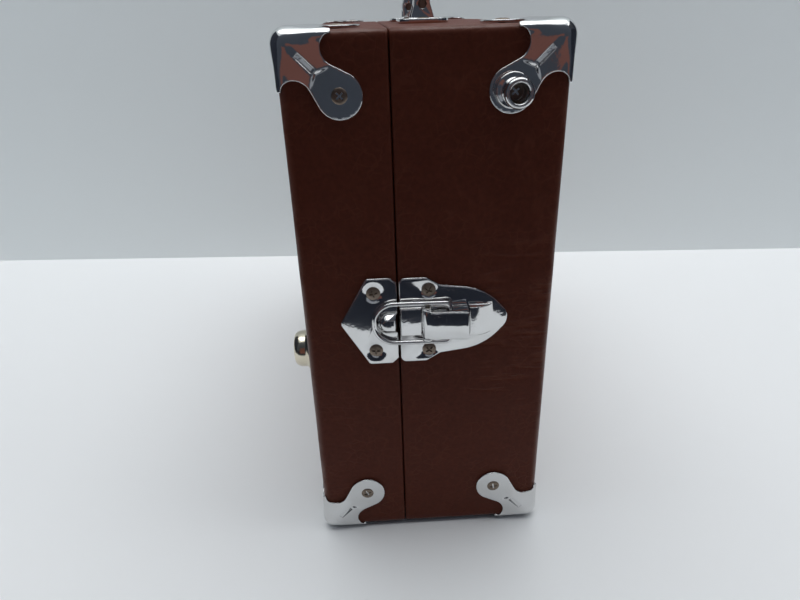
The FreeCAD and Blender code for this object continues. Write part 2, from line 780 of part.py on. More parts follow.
def base_plate():
    """Base half of the latch: a leaf-shaped plate with a raised bridge, two ears and a keeper."""
    tip = BASE_L - BASE_TIP_R
    lean = math.radians(BASE_TIP_TURN)
    turn_u = tip + BASE_TIP_R * math.cos(lean)
    turn_h = BASE_TIP_R * math.sin(lean)
    above = on_end(turn_u, 0, turn_h)
    below = on_end(turn_u, 0, -turn_h)
    upper_body = on_end(BASE_BODY, 0, BASE_BODY_HALF)
    lower_body = on_end(BASE_BODY, 0, -BASE_BODY_HALF)
    wire = outline(
        on_end(BASE_GAP, 0, BASE_HALF),
        on_end(BASE_SHOULDER, 0, BASE_HALF),
        on_end(BASE_WAIST, 0, BASE_WAIST_HALF),
        upper_body,
        (bulge(upper_body, above, BASE_SWELL, AXIS_Y), above),
        (on_end(BASE_L, 0, 0), below),
        (bulge(below, lower_body, BASE_SWELL, AXIS_Y), lower_body),
        on_end(BASE_WAIST, 0, -BASE_WAIST_HALF),
        on_end(BASE_SHOULDER, 0, -BASE_HALF),
        on_end(BASE_GAP, 0, -BASE_HALF),
    )
    blank = end_prism(wire, PLATE_T)
    blank = blank.makeFillet(BASE_CORNER_R, end_edges(blank, lambda u: u < BASE_BODY - BASE_CORNER_R))
    plate = soften(blank, PLATE_T, PLATE_EDGE_R)
    bridge_end = FULCRUM_U - KNUCKLE_R - MOVING_GAP
    bridge = outline(
        on_end(BRIDGE_START, 0, LEVER_HALF),
        on_end(bridge_end, 0, LEVER_HALF),
        on_end(bridge_end, 0, -LEVER_HALF),
        on_end(BRIDGE_START, 0, -LEVER_HALF),
    )
    plate = plate.fuse(soften(end_prism(bridge, BRIDGE_TOP), BRIDGE_TOP, PLATE_EDGE_R))
    keeper_start = LEVER_END + KEEPER_GAP
    keeper_end = keeper_start + KEEPER_L
    crest = on_end(keeper_start, PLATE_T + KEEPER_H, -KEEPER_HALF)
    run_out = on_end(keeper_end, PLATE_T - KEEPER_EDGE, -KEEPER_HALF)
    side = outline(
        on_end(keeper_start, 0, -KEEPER_HALF),
        crest,
        (bulge(crest, run_out, KEEPER_SWELL, AXIS_Z), run_out),
        on_end(keeper_end, 0, -KEEPER_HALF),
    )
    plate = plate.fuse(prism(side, V(0, 0, 2 * KEEPER_HALF)))
    for start in (LEVER_HALF + EAR_GAP, -LEVER_HALF - EAR_GAP - EAR_T):
        ear = outline(
            on_end(FULCRUM_U - EAR_R, 0, start),
            on_end(FULCRUM_U - EAR_R, FULCRUM_N, start),
            (on_end(FULCRUM_U, FULCRUM_N + EAR_R, start), on_end(FULCRUM_U + EAR_R, FULCRUM_N, start)),
            on_end(FULCRUM_U + EAR_R, 0, start),
        )
        plate = plate.fuse(prism(ear, V(0, 0, EAR_T)))
    holes = end_holes(BASE_SCREW_U, BASE_SCREW_H, BASE_DISH_R)
    return plate.cut([latch_pin()] + holes).removeSplitter()


def latch_pin():
    half = LEVER_HALF + EAR_GAP + EAR_T
    return rod(PIN_R, on_end(FULCRUM_U, FULCRUM_N, -half), on_end(FULCRUM_U, FULCRUM_N, half))


def lever():
    """Pressed channel that turns on the fulcrum pin and pulls the bail."""
    neck = FULCRUM_U + KNUCKLE_R

    def roof(h, inset):
        """Top of the channel from its neck to its free end, dished along its length."""
        start = on_end(neck + LEVER_BEVEL + inset, LEVER_TOP - inset, h)
        end = on_end(LEVER_END - inset, LEVER_TIP_TOP - inset, h)
        return start, (bulge(start, end, -LEVER_SAG, AXIS_Z), end)

    body = prism(
        outline(
            on_end(FULCRUM_U, FULCRUM_N - KNUCKLE_R, -LEVER_HALF),
            on_end(FULCRUM_U, FULCRUM_N + KNUCKLE_R, -LEVER_HALF),
            *roof(-LEVER_HALF, 0),
            on_end(LEVER_END, LEVER_BOTTOM, -LEVER_HALF),
            on_end(neck, LEVER_BOTTOM, -LEVER_HALF),
        ),
        V(0, 0, 2 * LEVER_HALF),
    )
    body = body.fuse(
        rod(KNUCKLE_R, on_end(FULCRUM_U, FULCRUM_N, -LEVER_HALF), on_end(FULCRUM_U, FULCRUM_N, LEVER_HALF))
    )
    inner = LEVER_HALF - LEVER_WALL
    hollow = prism(
        outline(
            on_end(neck + LEVER_BEVEL + LEVER_WALL, 0, -inner),
            *roof(-inner, LEVER_WALL),
            on_end(LEVER_END - LEVER_WALL, 0, -inner),
        ),
        V(0, 0, 2 * inner),
    )
    wide = LEVER_HALF + PAST
    bore = rod(PIN_R + PIN_CLEAR, on_end(FULCRUM_U, FULCRUM_N, -wide), on_end(FULCRUM_U, FULCRUM_N, wide))
    hook = rod(
        BAIL_R + BAIL_CLEAR,
        on_end(BAIL_PIVOT_U, BAIL_PIVOT_N, -wide),
        on_end(BAIL_PIVOT_U, BAIL_PIVOT_N, wide),
    )
    return body.cut([hollow, bore, hook]).removeSplitter()


def bail():
    """Wire loop from the lever round the dome, bent inwards into the lever's two side holes."""
    pivot = on_end(BAIL_PIVOT_U, BAIL_PIVOT_N, 0)
    run = on_end(BAIL_END_U, BAIL_END_N, 0) - pivot
    reach = run.Length
    ahead = run * (1 / reach)

    def at(along, h):
        return pivot + ahead * along + AXIS_Z * h

    def bend(radius, along, h, turn_along, turn_h):
        short = radius * (1 - math.sqrt(0.5))
        return at(along + turn_along * short, h + turn_h * short)

    hook = BAIL_HOOK_R
    round_r = BAIL_CORNER_R
    stop = BAIL_HALF - hook
    flat = BAIL_HALF - round_r
    runs = [
        Part.LineSegment(at(0, -BAIL_HOOK_END), at(0, -stop)).toShape(),
        Part.Arc(at(0, -stop), bend(hook, 0, -BAIL_HALF, 1, 1), at(hook, -BAIL_HALF)).toShape(),
        Part.LineSegment(at(hook, -BAIL_HALF), at(reach - round_r, -BAIL_HALF)).toShape(),
        Part.Arc(
            at(reach - round_r, -BAIL_HALF), bend(round_r, reach, -BAIL_HALF, -1, 1), at(reach, -flat)
        ).toShape(),
        Part.LineSegment(at(reach, -flat), at(reach, flat)).toShape(),
        Part.Arc(
            at(reach, flat), bend(round_r, reach, BAIL_HALF, -1, -1), at(reach - round_r, BAIL_HALF)
        ).toShape(),
        Part.LineSegment(at(reach - round_r, BAIL_HALF), at(hook, BAIL_HALF)).toShape(),
        Part.Arc(at(hook, BAIL_HALF), bend(hook, 0, BAIL_HALF, 1, -1), at(0, stop)).toShape(),
        Part.LineSegment(at(0, stop), at(0, BAIL_HOOK_END)).toShape(),
    ]
    ring = Part.Wire(Part.makeCircle(BAIL_R, at(0, -BAIL_HOOK_END), AXIS_Z))
    return Part.Wire(runs).makePipeShell([ring], True, False)


def on_panel(y, z, out=0):
    """Point on the panel's front face, or a distance out from it towards the lid."""
    return V(PANEL_FRONT - out, y, MID_Z + z)


def panel_rod(radius, y, z, start, end):
    """Round bar square to the panel, from one distance out of its front to another."""
    return rod(radius, on_panel(y, z, start), on_panel(y, z, end))


def panel_box(y, z, wide, high, start, end):
    return box(
        PANEL_FRONT - end, PANEL_FRONT - start, y - wide / 2, y + wide / 2,
        MID_Z + z - high / 2, MID_Z + z + high / 2,
    )


def panel_holes():
    """What passes through the panel, each with its clearance."""
    def hole(radius, y, z):
        return panel_rod(radius + BUSH_CLEAR, y, z, -PANEL_T, 0)

    holes = [
        hole(METER_CAN_R, METER_Y, METER_Z),
        hole(OCTAL_BODY_R, OCTAL_Y, SOCKET_Z),
        hole(NOVAL_BODY_R, NOVAL_Y, SOCKET_Z),
        hole(MINI_BODY_R, MINI_Y, SOCKET_Z),
        hole(BUSH_R, HEATER_Y, KNOB_Z),
        hole(BUSH_R, LOAD_Y, KNOB_Z),
        hole(BUTTON_BODY_R, BUTTON_Y, KNOB_Z),
        hole(TOGGLE_BUSH_R, TOGGLE_Y, KNOB_Z),
        hole(PILOT_BODY_R, PILOT_Y, KNOB_Z),
        panel_box(
            INLET_Y, INLET_Z, INLET_W + 2 * BUSH_CLEAR, INLET_H + 2 * BUSH_CLEAR, -PANEL_T, 0
        ),
    ]
    screw = screw_hole(PANEL_T)
    return holes + [seated(screw, on_panel(y, z), -AXIS_X) for y, z in panel_screw_places()]


def panel_screw_places():
    y = PANEL_Y - PANEL_SCREW_INSET
    z = PANEL_Z - PANEL_SCREW_INSET
    return [(sy * y, sz * z) for sy in (-1, 1) for sz in (-1, 0, 1)]


def panel():
    plate = box(PANEL_FRONT, PANEL_BACK, -PANEL_Y, PANEL_Y, MID_Z - PANEL_Z, MID_Z + PANEL_Z)
    return plate.cut(panel_holes())


def panel_rails():
    """Two wooden rails glued inside the lip, under the panel's short edges."""
    outer = HOLLOW_Y - LIP_T
    z = HOLLOW_Z - LIP_T
    right = box(PANEL_BACK, RAIL_BACK, outer - RAIL_W, outer, MID_Z - z, MID_Z + z)
    return Part.makeCompound([right, to_far(right)])


def meter_body():
    """Moulded case: a shallow front tray that holds dial and window, and a round can behind."""
    front = panel_box(METER_Y, METER_Z, METER_W, METER_H, 0, METER_PROUD)
    front = rounded(front, METER_R, lambda p: near(p.x, PANEL_FRONT - METER_PROUD))
    can = panel_rod(METER_CAN_R, METER_Y, METER_Z, -METER_CAN_DEPTH, METER_FLOOR)
    inset = 2 * METER_RIM
    pocket = panel_box(
        METER_Y, METER_Z, METER_W - inset - 2 * METER_LEDGE, METER_H - inset - 2 * METER_LEDGE,
        METER_FLOOR, METER_PROUD + PAST,
    )
    rebate = panel_box(
        METER_Y, METER_Z, METER_W - inset, METER_H - inset, METER_PROUD - WINDOW_T, METER_PROUD + PAST
    )
    bearing = needle_pin(NEEDLE_PIN_R + SHAFT_CLEAR)
    return front.fuse(can).cut([pocket, rebate, bearing]).removeSplitter()


def needle_pin(radius):
    top = METER_FLOOR + DIAL_T
    return panel_rod(radius, METER_Y, METER_Z - NEEDLE_DROP, top - NEEDLE_PIN_L, top + NEEDLE_LIFT)


def meter_dial():
    inset = 2 * METER_RIM + 2 * METER_LEDGE
    plate = panel_box(
        METER_Y, METER_Z, METER_W - inset, METER_H - inset, METER_FLOOR, METER_FLOOR + DIAL_T
    )
    return plate.cut(needle_pin(NEEDLE_PIN_R + SHAFT_CLEAR))


def meter_window():
    inset = 2 * METER_RIM + 2 * BUSH_CLEAR
    return panel_box(
        METER_Y, METER_Z, METER_W - inset, METER_H - inset, METER_PROUD - WINDOW_T, METER_PROUD
    )


def meter_needle():
    """Pointer on a hub and a pin, resting at the zero end of the scale."""
    low = METER_FLOOR + DIAL_T + NEEDLE_LIFT
    centre_z = METER_Z - NEEDLE_DROP
    half = NEEDLE_W / 2

    def at(y, z):
        return on_panel(METER_Y + y, centre_z + z, low)

    blade = prism(
        outline(at(-half, -NEEDLE_TAIL), at(half, -NEEDLE_TAIL), at(0, NEEDLE_L)),
        V(-NEEDLE_T, 0, 0),
    )
    hub = panel_rod(NEEDLE_HUB_R, METER_Y, centre_z, low, low + NEEDLE_HUB_T)
    pointer = blade.fuse([hub, needle_pin(NEEDLE_PIN_R)]).removeSplitter()
    return pointer.rotated(on_panel(METER_Y, centre_z), AXIS_X, -NEEDLE_ZERO)


def tube_socket(y, top_r, body_r, ring_r, pins, blanks, pin_r):
    """Moulded socket with a ring of pin holes, where blank places leave a gap at the bottom."""
    body = panel_rod(top_r, y, SOCKET_Z, 0, SOCKET_PROUD)
    body = rounded(body, SOCKET_ROUND, lambda p: near(p.x, PANEL_FRONT - SOCKET_PROUD))
    body = body.fuse(panel_rod(body_r, y, SOCKET_Z, -SOCKET_BODY, 0))
    step = 2 * math.pi / (pins + blanks)
    holes = []
    for k in range(pins):
        angle = step * (k + (1 + blanks) / 2) - math.pi / 2
        at_y = y + ring_r * math.cos(angle)
        at_z = SOCKET_Z + ring_r * math.sin(angle)
        holes.append(panel_rod(pin_r, at_y, at_z, SOCKET_PROUD - PIN_DEPTH, SOCKET_PROUD + PAST))
    return body.cut(holes).removeSplitter()


def octal_socket():
    """Eight pin holes round the hole for the tube's keyed post."""
    body = tube_socket(OCTAL_Y, OCTAL_R, OCTAL_BODY_R, OCTAL_RING_R, OCTAL_PINS, 0, OCTAL_PIN_R)
    floor = SOCKET_PROUD - PIN_DEPTH
    post = panel_rod(OCTAL_POST_R, OCTAL_Y, SOCKET_Z, floor, SOCKET_PROUD + PAST)
    key = panel_box(
        OCTAL_Y, SOCKET_Z - OCTAL_KEY_REACH / 2, OCTAL_KEY_W, OCTAL_KEY_REACH, floor, SOCKET_PROUD + PAST
    )
    return body.cut([post, key]).removeSplitter()


def knob(y):
    """Skirted knob with a fluted grip and an index groove, hollow below to clear the bush."""
    grip_r = KNOB_TOP_R - KNOB_TAPER
    made = turned(
        (SHAFT_R, KNOB_HOLLOW_H),
        (KNOB_HOLLOW_R, KNOB_HOLLOW_H),
        (KNOB_HOLLOW_R, 0),
        (KNOB_R, 0),
        (KNOB_R, KNOB_SKIRT_H - KNOB_SKIRT_BEVEL),
        (KNOB_R - KNOB_SKIRT_BEVEL, KNOB_SKIRT_H),
        (KNOB_TOP_R, KNOB_SKIRT_H),
        *shoulder(grip_r, KNOB_H, KNOB_ROUND),
        (0, KNOB_H),
        (0, KNOB_H - SHAFT_TOP_WALL),
        (SHAFT_R, KNOB_H - SHAFT_TOP_WALL),
    )
    flute_at = KNOB_TOP_R + KNOB_FLUTE_R - KNOB_FLUTE_IN
    cuts = []
    for k in range(KNOB_FLUTES):
        turn = 2 * math.pi * (k + 0.5) / KNOB_FLUTES
        foot_point = V(flute_at * math.cos(turn), flute_at * math.sin(turn), KNOB_SKIRT_H)
        cuts.append(rod(KNOB_FLUTE_R, foot_point, foot_point + AXIS_Z * KNOB_H))
    half = KNOB_INDEX_W / 2
    cuts.append(box(-grip_r, 0, -half, half, KNOB_H - KNOB_INDEX_DEPTH, KNOB_H))
    return seated(made.cut(cuts), on_panel(y, KNOB_Z, KNOB_LIFT), -AXIS_X)


def knob_shaft(y):
    return panel_rod(SHAFT_R, y, KNOB_Z, -SHAFT_TAIL, KNOB_LIFT + KNOB_H - SHAFT_TOP_WALL)


def rotary_control(y):
    """Round switch or rheostat case behind the panel with its bush through it."""
    case = panel_rod(CONTROL_R, y, KNOB_Z, -PANEL_T - CONTROL_DEPTH, -PANEL_T)
    bush = panel_rod(BUSH_R, y, KNOB_Z, -PANEL_T, BUSH_H)
    bore = panel_rod(SHAFT_R + SHAFT_CLEAR, y, KNOB_Z, -SHAFT_TAIL - BUSH_CLEAR, BUSH_H)
    return case.fuse(bush).cut(bore).removeSplitter()


def button_switch():
    """Ring on the panel round the button's bore, and the switch case behind."""
    ring = panel_rod(BUTTON_RING_R, BUTTON_Y, KNOB_Z, 0, BUTTON_RING_H)
    ring = rounded(ring, BUTTON_RING_ROUND, lambda p: near(p.x, PANEL_FRONT - BUTTON_RING_H))
    body = panel_rod(BUTTON_BODY_R, BUTTON_Y, KNOB_Z, -BUTTON_BODY_DEPTH, 0)
    depth = BUTTON_TRAVEL + MOVING_GAP
    well = panel_rod(BUTTON_R + BUSH_CLEAR, BUTTON_Y, KNOB_Z, -depth, BUTTON_RING_H)
    guide_end = -depth - BUTTON_STEM_L
    guide = panel_rod(BUTTON_STEM_R + BUSH_CLEAR, BUTTON_Y, KNOB_Z, guide_end, -depth)
    return ring.fuse(body).cut([well, guide]).removeSplitter()


def test_button():
    """Plunger whose stem runs in the switch case."""
    cap = panel_rod(BUTTON_R, BUTTON_Y, KNOB_Z, 0, BUTTON_RING_H + BUTTON_H)
    cap = rounded(cap, BUTTON_ROUND, lambda p: near(p.x, PANEL_FRONT - BUTTON_RING_H - BUTTON_H))
    stem = panel_rod(BUTTON_STEM_R, BUTTON_Y, KNOB_Z, -BUTTON_STEM_L, 0)
    return cap.fuse(stem).removeSplitter()


def toggle_switch():
    """Threaded bush with a flared mouth over a ball seat, and the switch case behind."""
    bush = panel_rod(TOGGLE_BUSH_R, TOGGLE_Y, KNOB_Z, -PANEL_T, TOGGLE_BUSH_H)
    body = panel_box(
        TOGGLE_Y, KNOB_Z, TOGGLE_BODY_W, TOGGLE_BODY_L, -PANEL_T - TOGGLE_BODY_DEPTH, -PANEL_T
    )
    pivot = on_panel(TOGGLE_Y, KNOB_Z, TOGGLE_BUSH_H / 2)
    seat = Part.makeSphere(TOGGLE_BALL_R + BUSH_CLEAR, pivot)
    mouth_r = TOGGLE_TIP_R + TOGGLE_BUSH_H / 2 * math.tan(math.radians(TOGGLE_THROW))
    mouth = Part.makeCone(TOGGLE_BALL_R, mouth_r, TOGGLE_BUSH_H / 2, pivot, -AXIS_X)
    return bush.fuse(body).cut([seat, mouth]).removeSplitter()


def toggle_lever():
    """Bat-shaped lever on a ball, resting tipped to its lower, off side."""
    bat = turned(
        (0, 0),
        (TOGGLE_ROOT_R, 0),
        (TOGGLE_TIP_R, TOGGLE_L - TOGGLE_TIP_R),
        dome(TOGGLE_TIP_R, TOGGLE_L - TOGGLE_TIP_R, TOGGLE_TIP_R),
    )
    pivot = on_panel(TOGGLE_Y, KNOB_Z, TOGGLE_BUSH_H / 2)
    made = seated(bat, pivot, -AXIS_X).fuse(Part.makeSphere(TOGGLE_BALL_R, pivot))
    return made.removeSplitter().rotated(pivot, AXIS_Y, -TOGGLE_THROW)


def pilot_jewel():
    """Domed lens on a lamp holder that passes through the panel."""
    lens = turned(
        (0, 0),
        (PILOT_R, 0),
        (PILOT_R, PILOT_BEZEL_H),
        dome(PILOT_R, PILOT_BEZEL_H, PILOT_H - PILOT_BEZEL_H),
    )
    holder = panel_rod(PILOT_BODY_R, PILOT_Y, KNOB_Z, -PILOT_BODY_DEPTH, 0)
    return seated(lens, on_panel(PILOT_Y, KNOB_Z), -AXIS_X).fuse(holder).removeSplitter()


def mains_inlet():
    """Flanged recess with two flat-ended pins for the detachable lead."""
    flange = panel_box(
        INLET_Y, INLET_Z, INLET_W + 2 * INLET_FLANGE, INLET_H + 2 * INLET_FLANGE, 0, INLET_FLANGE_T
    )
    body = panel_box(INLET_Y, INLET_Z, INLET_W, INLET_H, -INLET_DEPTH - INLET_WALL, 0)
    well = panel_box(
        INLET_Y, INLET_Z, INLET_W - 2 * INLET_WALL, INLET_H - 2 * INLET_WALL, -INLET_DEPTH, INLET_FLANGE_T
    )
    inlet = flange.fuse(body).cut(well)
    for side in (-1, 1):
        y = INLET_Y + side * INLET_PIN_GAP / 2
        inlet = inlet.fuse(panel_rod(INLET_PIN_R, y, INLET_Z, -INLET_DEPTH - INLET_WALL, -INLET_PIN_SINK))
    return inlet.removeSplitter()


def transformer_core():
    """Laminated core with two windows, on two bent feet against the panel's back."""
    back = TRAFO_FRONT - TRAFO_STACK
    core = panel_box(TRAFO_Y, TRAFO_Z, TRAFO_L, TRAFO_H, back, TRAFO_FRONT)
    window_w = TRAFO_L / 2 - 2 * TRAFO_LIMB
    window_h = TRAFO_H - 2 * TRAFO_LIMB
    away = TRAFO_LIMB + window_w / 2
    for side in (-1, 1):
        core = core.cut(
            panel_box(TRAFO_Y + side * away, TRAFO_Z, window_w, window_h, back, TRAFO_FRONT)
        )
    for side in (-1, 1):
        y = TRAFO_Y + side * (TRAFO_L / 2 + TRAFO_FOOT_T / 2)
        web = panel_box(y, TRAFO_Z, TRAFO_FOOT_T, TRAFO_FOOT_H, back, -PANEL_T)
        y = TRAFO_Y + side * (TRAFO_L / 2 + TRAFO_FOOT_L / 2)
        toe = panel_box(y, TRAFO_Z, TRAFO_FOOT_L, TRAFO_FOOT_H, -PANEL_T - TRAFO_FOOT_T, -PANEL_T)
        core = core.fuse([web, toe])
    return core.removeSplitter()


def transformer_coil():
    """Winding on the middle limb, standing out of both faces of the core."""
    back = TRAFO_FRONT - TRAFO_STACK
    wide = TRAFO_L - 2 * TRAFO_LIMB - 2 * COIL_CLEAR
    high = TRAFO_H - 2 * TRAFO_LIMB - 2 * COIL_CLEAR
    outer = panel_box(TRAFO_Y, TRAFO_Z, wide, high, back - COIL_PROUD, TRAFO_FRONT + COIL_PROUD)
    outer = outer.makeFillet(COIL_R, upright_edges(outer))
    limb = panel_box(
        TRAFO_Y, TRAFO_Z, 2 * (TRAFO_LIMB + COIL_CLEAR), high, back - COIL_CLEAR, TRAFO_FRONT + COIL_CLEAR
    )
    return outer.cut(limb)


def corner_name(corner):
    half = "base" if corner[0] > 0 else "lid"
    level = "upper" if corner[2] > 0 else "lower"
    end = "near" if corner[1] < 0 else "far"
    return f"{half}_corner_{level}_{end}"


def lid_foot_seats():
    z = STAND + LID_FOOT_RISE
    return [V(LID_FACE, s * (END_Y - LID_FOOT_INSET), z) for s in (-1, 1)]


def rear_foot_seats():
    y = END_Y - REAR_FOOT_INSET
    z = CASE_H / 2 - REAR_FOOT_INSET
    return [V(REAR_FACE, sy * y, MID_Z + sz * z) for sy in (-1, 1) for sz in (-1, 1)]


def end_seats(u, h):
    """Screw places of the latch plates on both ends, each with its outward direction."""
    seats = []
    for s in (-1, 1):
        point = on_end(u, SCREW_SINK, s * h)
        seats += [(point, -AXIS_Y), (V(point.x, -point.y, point.z), AXIS_Y)]
    return seats


def screw_set(seats, length):
    screw = wood_screw(length)
    return [seated(screw, point, normal) for point, normal in seats]


def screw_bores(seats, through):
    """Clearance holes that pierce the covering under what the screws hold."""
    return [rod(SCREW_R + SCREW_CLEAR, point, point - normal * through) for point, normal in seats]


def build():
    """Every piece of the tester, by the name of its node."""
    parts = {}
    screws = {"lid": [], "base": []}
    bores = {"lid": [], "base": []}

    def fasten(half, seats, held, length=SCREW_L):
        bores[half] += screw_bores(seats, held + SKIN_T)
        return screw_set(seats, length)

    cap = corner_cap()
    stud_seats = []
    for corner in [(x, y, z) for x in (-1, 1) for y in (-1, 1) for z in (-1, 1)]:
        half = "base" if corner[0] > 0 else "lid"
        parts[corner_name(corner)] = corner_frame(cap, corner)
        seats = corner_seats(corner)
        if half == "base" and corner[2] > 0:
            end = "near" if corner[1] < 0 else "far"
            point, normal = seats.pop("y")
            parts[f"strap_stud_{end}"] = seated(strap_stud(), point, normal)
            stud_seats.append((point + normal * STUD_WEB, normal))
        screws[half] += fasten(half, list(seats.values()), LOBE_TOP)
    stud_hold = STUD_WEB + LOBE_TOP
    long_screws = fasten("base", stud_seats, stud_hold, stud_hold + SKIN_T + SCREW_BITE)

    foot_hold = FOOT_WEB
    foot_screw_l = foot_hold + SKIN_T + FOOT_SCREW_BITE
    lid_seats = [(point - AXIS_X * FOOT_WEB, -AXIS_X) for point in lid_foot_seats()]
    rear_seats = [(point + AXIS_X * FOOT_WEB, AXIS_X) for point in rear_foot_seats()]
    parts["lid_feet"] = Part.makeCompound([seated(foot(), point, -AXIS_X) for point in lid_foot_seats()])
    parts["rear_feet"] = Part.makeCompound([seated(foot(), point, AXIS_X) for point in rear_foot_seats()])
    parts["lid_foot_screws"] = Part.makeCompound(fasten("lid", lid_seats, foot_hold, foot_screw_l))
    long_screws += fasten("base", rear_seats, foot_hold, foot_screw_l)
    parts["base_long_screws"] = Part.makeCompound(long_screws)

    parts["handle_bow"] = handle_bow()
    parts["handle_pins"] = Part.makeCompound([handle_pin(-HANDLE_Y), handle_pin(HANDLE_Y)])
    for end, y in (("near", -HANDLE_Y), ("far", HANDLE_Y)):
        parts[f"handle_bracket_{end}"] = handle_bracket(y)
        seats = [(point, AXIS_Z) for point in handle_screw_seats(y)]
        screws["base"] += fasten("base", seats, HANDLE_FOOT_T)

    for name, shape in (
        ("catch_plate", catch_plate()),
        ("latch_plate", base_plate()),
        ("latch_lever", lever()),
        ("latch_bail", bail()),
    ):
        parts[f"{name}_near"] = shape
        parts[f"{name}_far"] = to_far(shape)
    parts["latch_pins"] = Part.makeCompound([latch_pin(), to_far(latch_pin())])
    screws["lid"] += fasten("lid", end_seats(-CATCH_SCREW_U, CATCH_SCREW_H), SCREW_SINK)
    screws["base"] += fasten("base", end_seats(BASE_SCREW_U, BASE_SCREW_H), SCREW_SINK)

    for half, rim, face, clear in (("lid", LID_RIM, LID_FACE, LIP_CLEAR), ("base", BASE_RIM, REAR_FACE, 0)):
        wood, skin = tray(rim, face, clear)
        parts[f"{half}_box"] = wood
        parts[f"{half}_covering"] = skin.cut(bores[half])
        parts[f"{half}_screws"] = Part.makeCompound(screws[half])
    parts["locating_lip"] = locating_lip()

    parts["panel"] = panel()
    parts["panel_rails"] = panel_rails()
    panel_seats = [(on_panel(y, z), -AXIS_X) for y, z in panel_screw_places()]
    parts["panel_screws"] = Part.makeCompound(screw_set(panel_seats, PANEL_T + SCREW_BITE))
    parts["meter_body"] = meter_body()
    parts["meter_dial"] = meter_dial()
    parts["meter_window"] = meter_window()
    parts["meter_needle"] = meter_needle()
    parts["socket_octal"] = octal_socket()
    parts["socket_noval"] = tube_socket(
        NOVAL_Y, NOVAL_R, NOVAL_BODY_R, NOVAL_RING_R, NOVAL_PINS, 1, SMALL_PIN_R
    )
    parts["socket_miniature"] = tube_socket(
        MINI_Y, MINI_R, MINI_BODY_R, MINI_RING_R, MINI_PINS, 1, SMALL_PIN_R
    )
    for name, y in (("heater", HEATER_Y), ("load", LOAD_Y)):
        parts[f"{name}_knob"] = knob(y)
        parts[f"{name}_shaft"] = knob_shaft(y)
        parts[f"{name}_control"] = rotary_control(y)
    parts["button_switch"] = button_switch()
    parts["test_button"] = test_button()
    parts["toggle_switch"] = toggle_switch()
    parts["toggle_lever"] = toggle_lever()
    parts["pilot_jewel"] = pilot_jewel()
    parts["mains_inlet"] = mains_inlet()
    parts["transformer_core"] = transformer_core()
    parts["transformer_coil"] = transformer_coil()
    return parts


def main():
    os.makedirs("parts", exist_ok=True)
    for name, shape in build().items():
        shape.exportStep(f"parts/{name}.step")


main()
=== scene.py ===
import json
import math

import bmesh
import bpy
from mathutils import Matrix, Vector, noise


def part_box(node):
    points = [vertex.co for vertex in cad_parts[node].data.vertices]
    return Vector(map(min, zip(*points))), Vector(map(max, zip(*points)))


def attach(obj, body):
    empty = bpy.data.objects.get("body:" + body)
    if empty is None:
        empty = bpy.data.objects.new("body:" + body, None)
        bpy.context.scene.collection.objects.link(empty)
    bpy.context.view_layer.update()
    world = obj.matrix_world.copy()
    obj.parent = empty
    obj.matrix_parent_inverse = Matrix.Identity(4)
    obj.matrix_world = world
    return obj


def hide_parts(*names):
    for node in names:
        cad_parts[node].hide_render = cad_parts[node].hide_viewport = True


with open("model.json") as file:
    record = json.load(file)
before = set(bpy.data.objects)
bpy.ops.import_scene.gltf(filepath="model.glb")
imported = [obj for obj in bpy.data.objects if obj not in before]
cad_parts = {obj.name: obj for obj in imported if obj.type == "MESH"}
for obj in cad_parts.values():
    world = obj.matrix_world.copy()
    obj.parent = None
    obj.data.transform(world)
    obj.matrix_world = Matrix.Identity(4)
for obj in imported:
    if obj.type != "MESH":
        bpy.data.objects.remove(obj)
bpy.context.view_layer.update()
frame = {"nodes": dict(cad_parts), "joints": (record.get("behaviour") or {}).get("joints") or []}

# The photograph's camera: close over the near end of the case, tipped down and turned a little. Its
# place is measured from the near lower corner of the lid, in metres.
PHOTO_WIDTH_PX = 800
FOCAL_PX = 592
SENSOR_WIDTH = 36
EYE_FROM_CORNER = Vector((0.0326, -0.2199, 0.2295))
EYE_YAW = 0.035
EYE_TILT = 0.448
EYE_ROLL = -0.034

case_low = Vector(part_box("lid_covering")[0])
case_high = Vector(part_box("base_covering")[1])
ahead = Vector((
    math.sin(EYE_YAW) * math.cos(EYE_TILT),
    math.cos(EYE_YAW) * math.cos(EYE_TILT),
    -math.sin(EYE_TILT),
))
level = Vector((math.cos(EYE_YAW), -math.sin(EYE_YAW), 0))
upright = level.cross(ahead)
eye_right = math.cos(EYE_ROLL) * level + math.sin(EYE_ROLL) * upright
eye_up = math.cos(EYE_ROLL) * upright - math.sin(EYE_ROLL) * level
eye_place = case_low + EYE_FROM_CORNER
camera = bpy.data.objects.new("camera", bpy.data.cameras.new("camera"))
camera.data.sensor_width = SENSOR_WIDTH
camera.data.lens = FOCAL_PX / PHOTO_WIDTH_PX * SENSOR_WIDTH
camera.data.clip_start = 0.01
camera.matrix_world = (
    Matrix.Translation(eye_place) @ Matrix((eye_right, eye_up, -ahead)).transposed().to_4x4()
)
bpy.context.scene.collection.objects.link(camera)
bpy.context.scene.camera = camera
bpy.context.scene.view_settings.view_transform = "Standard"


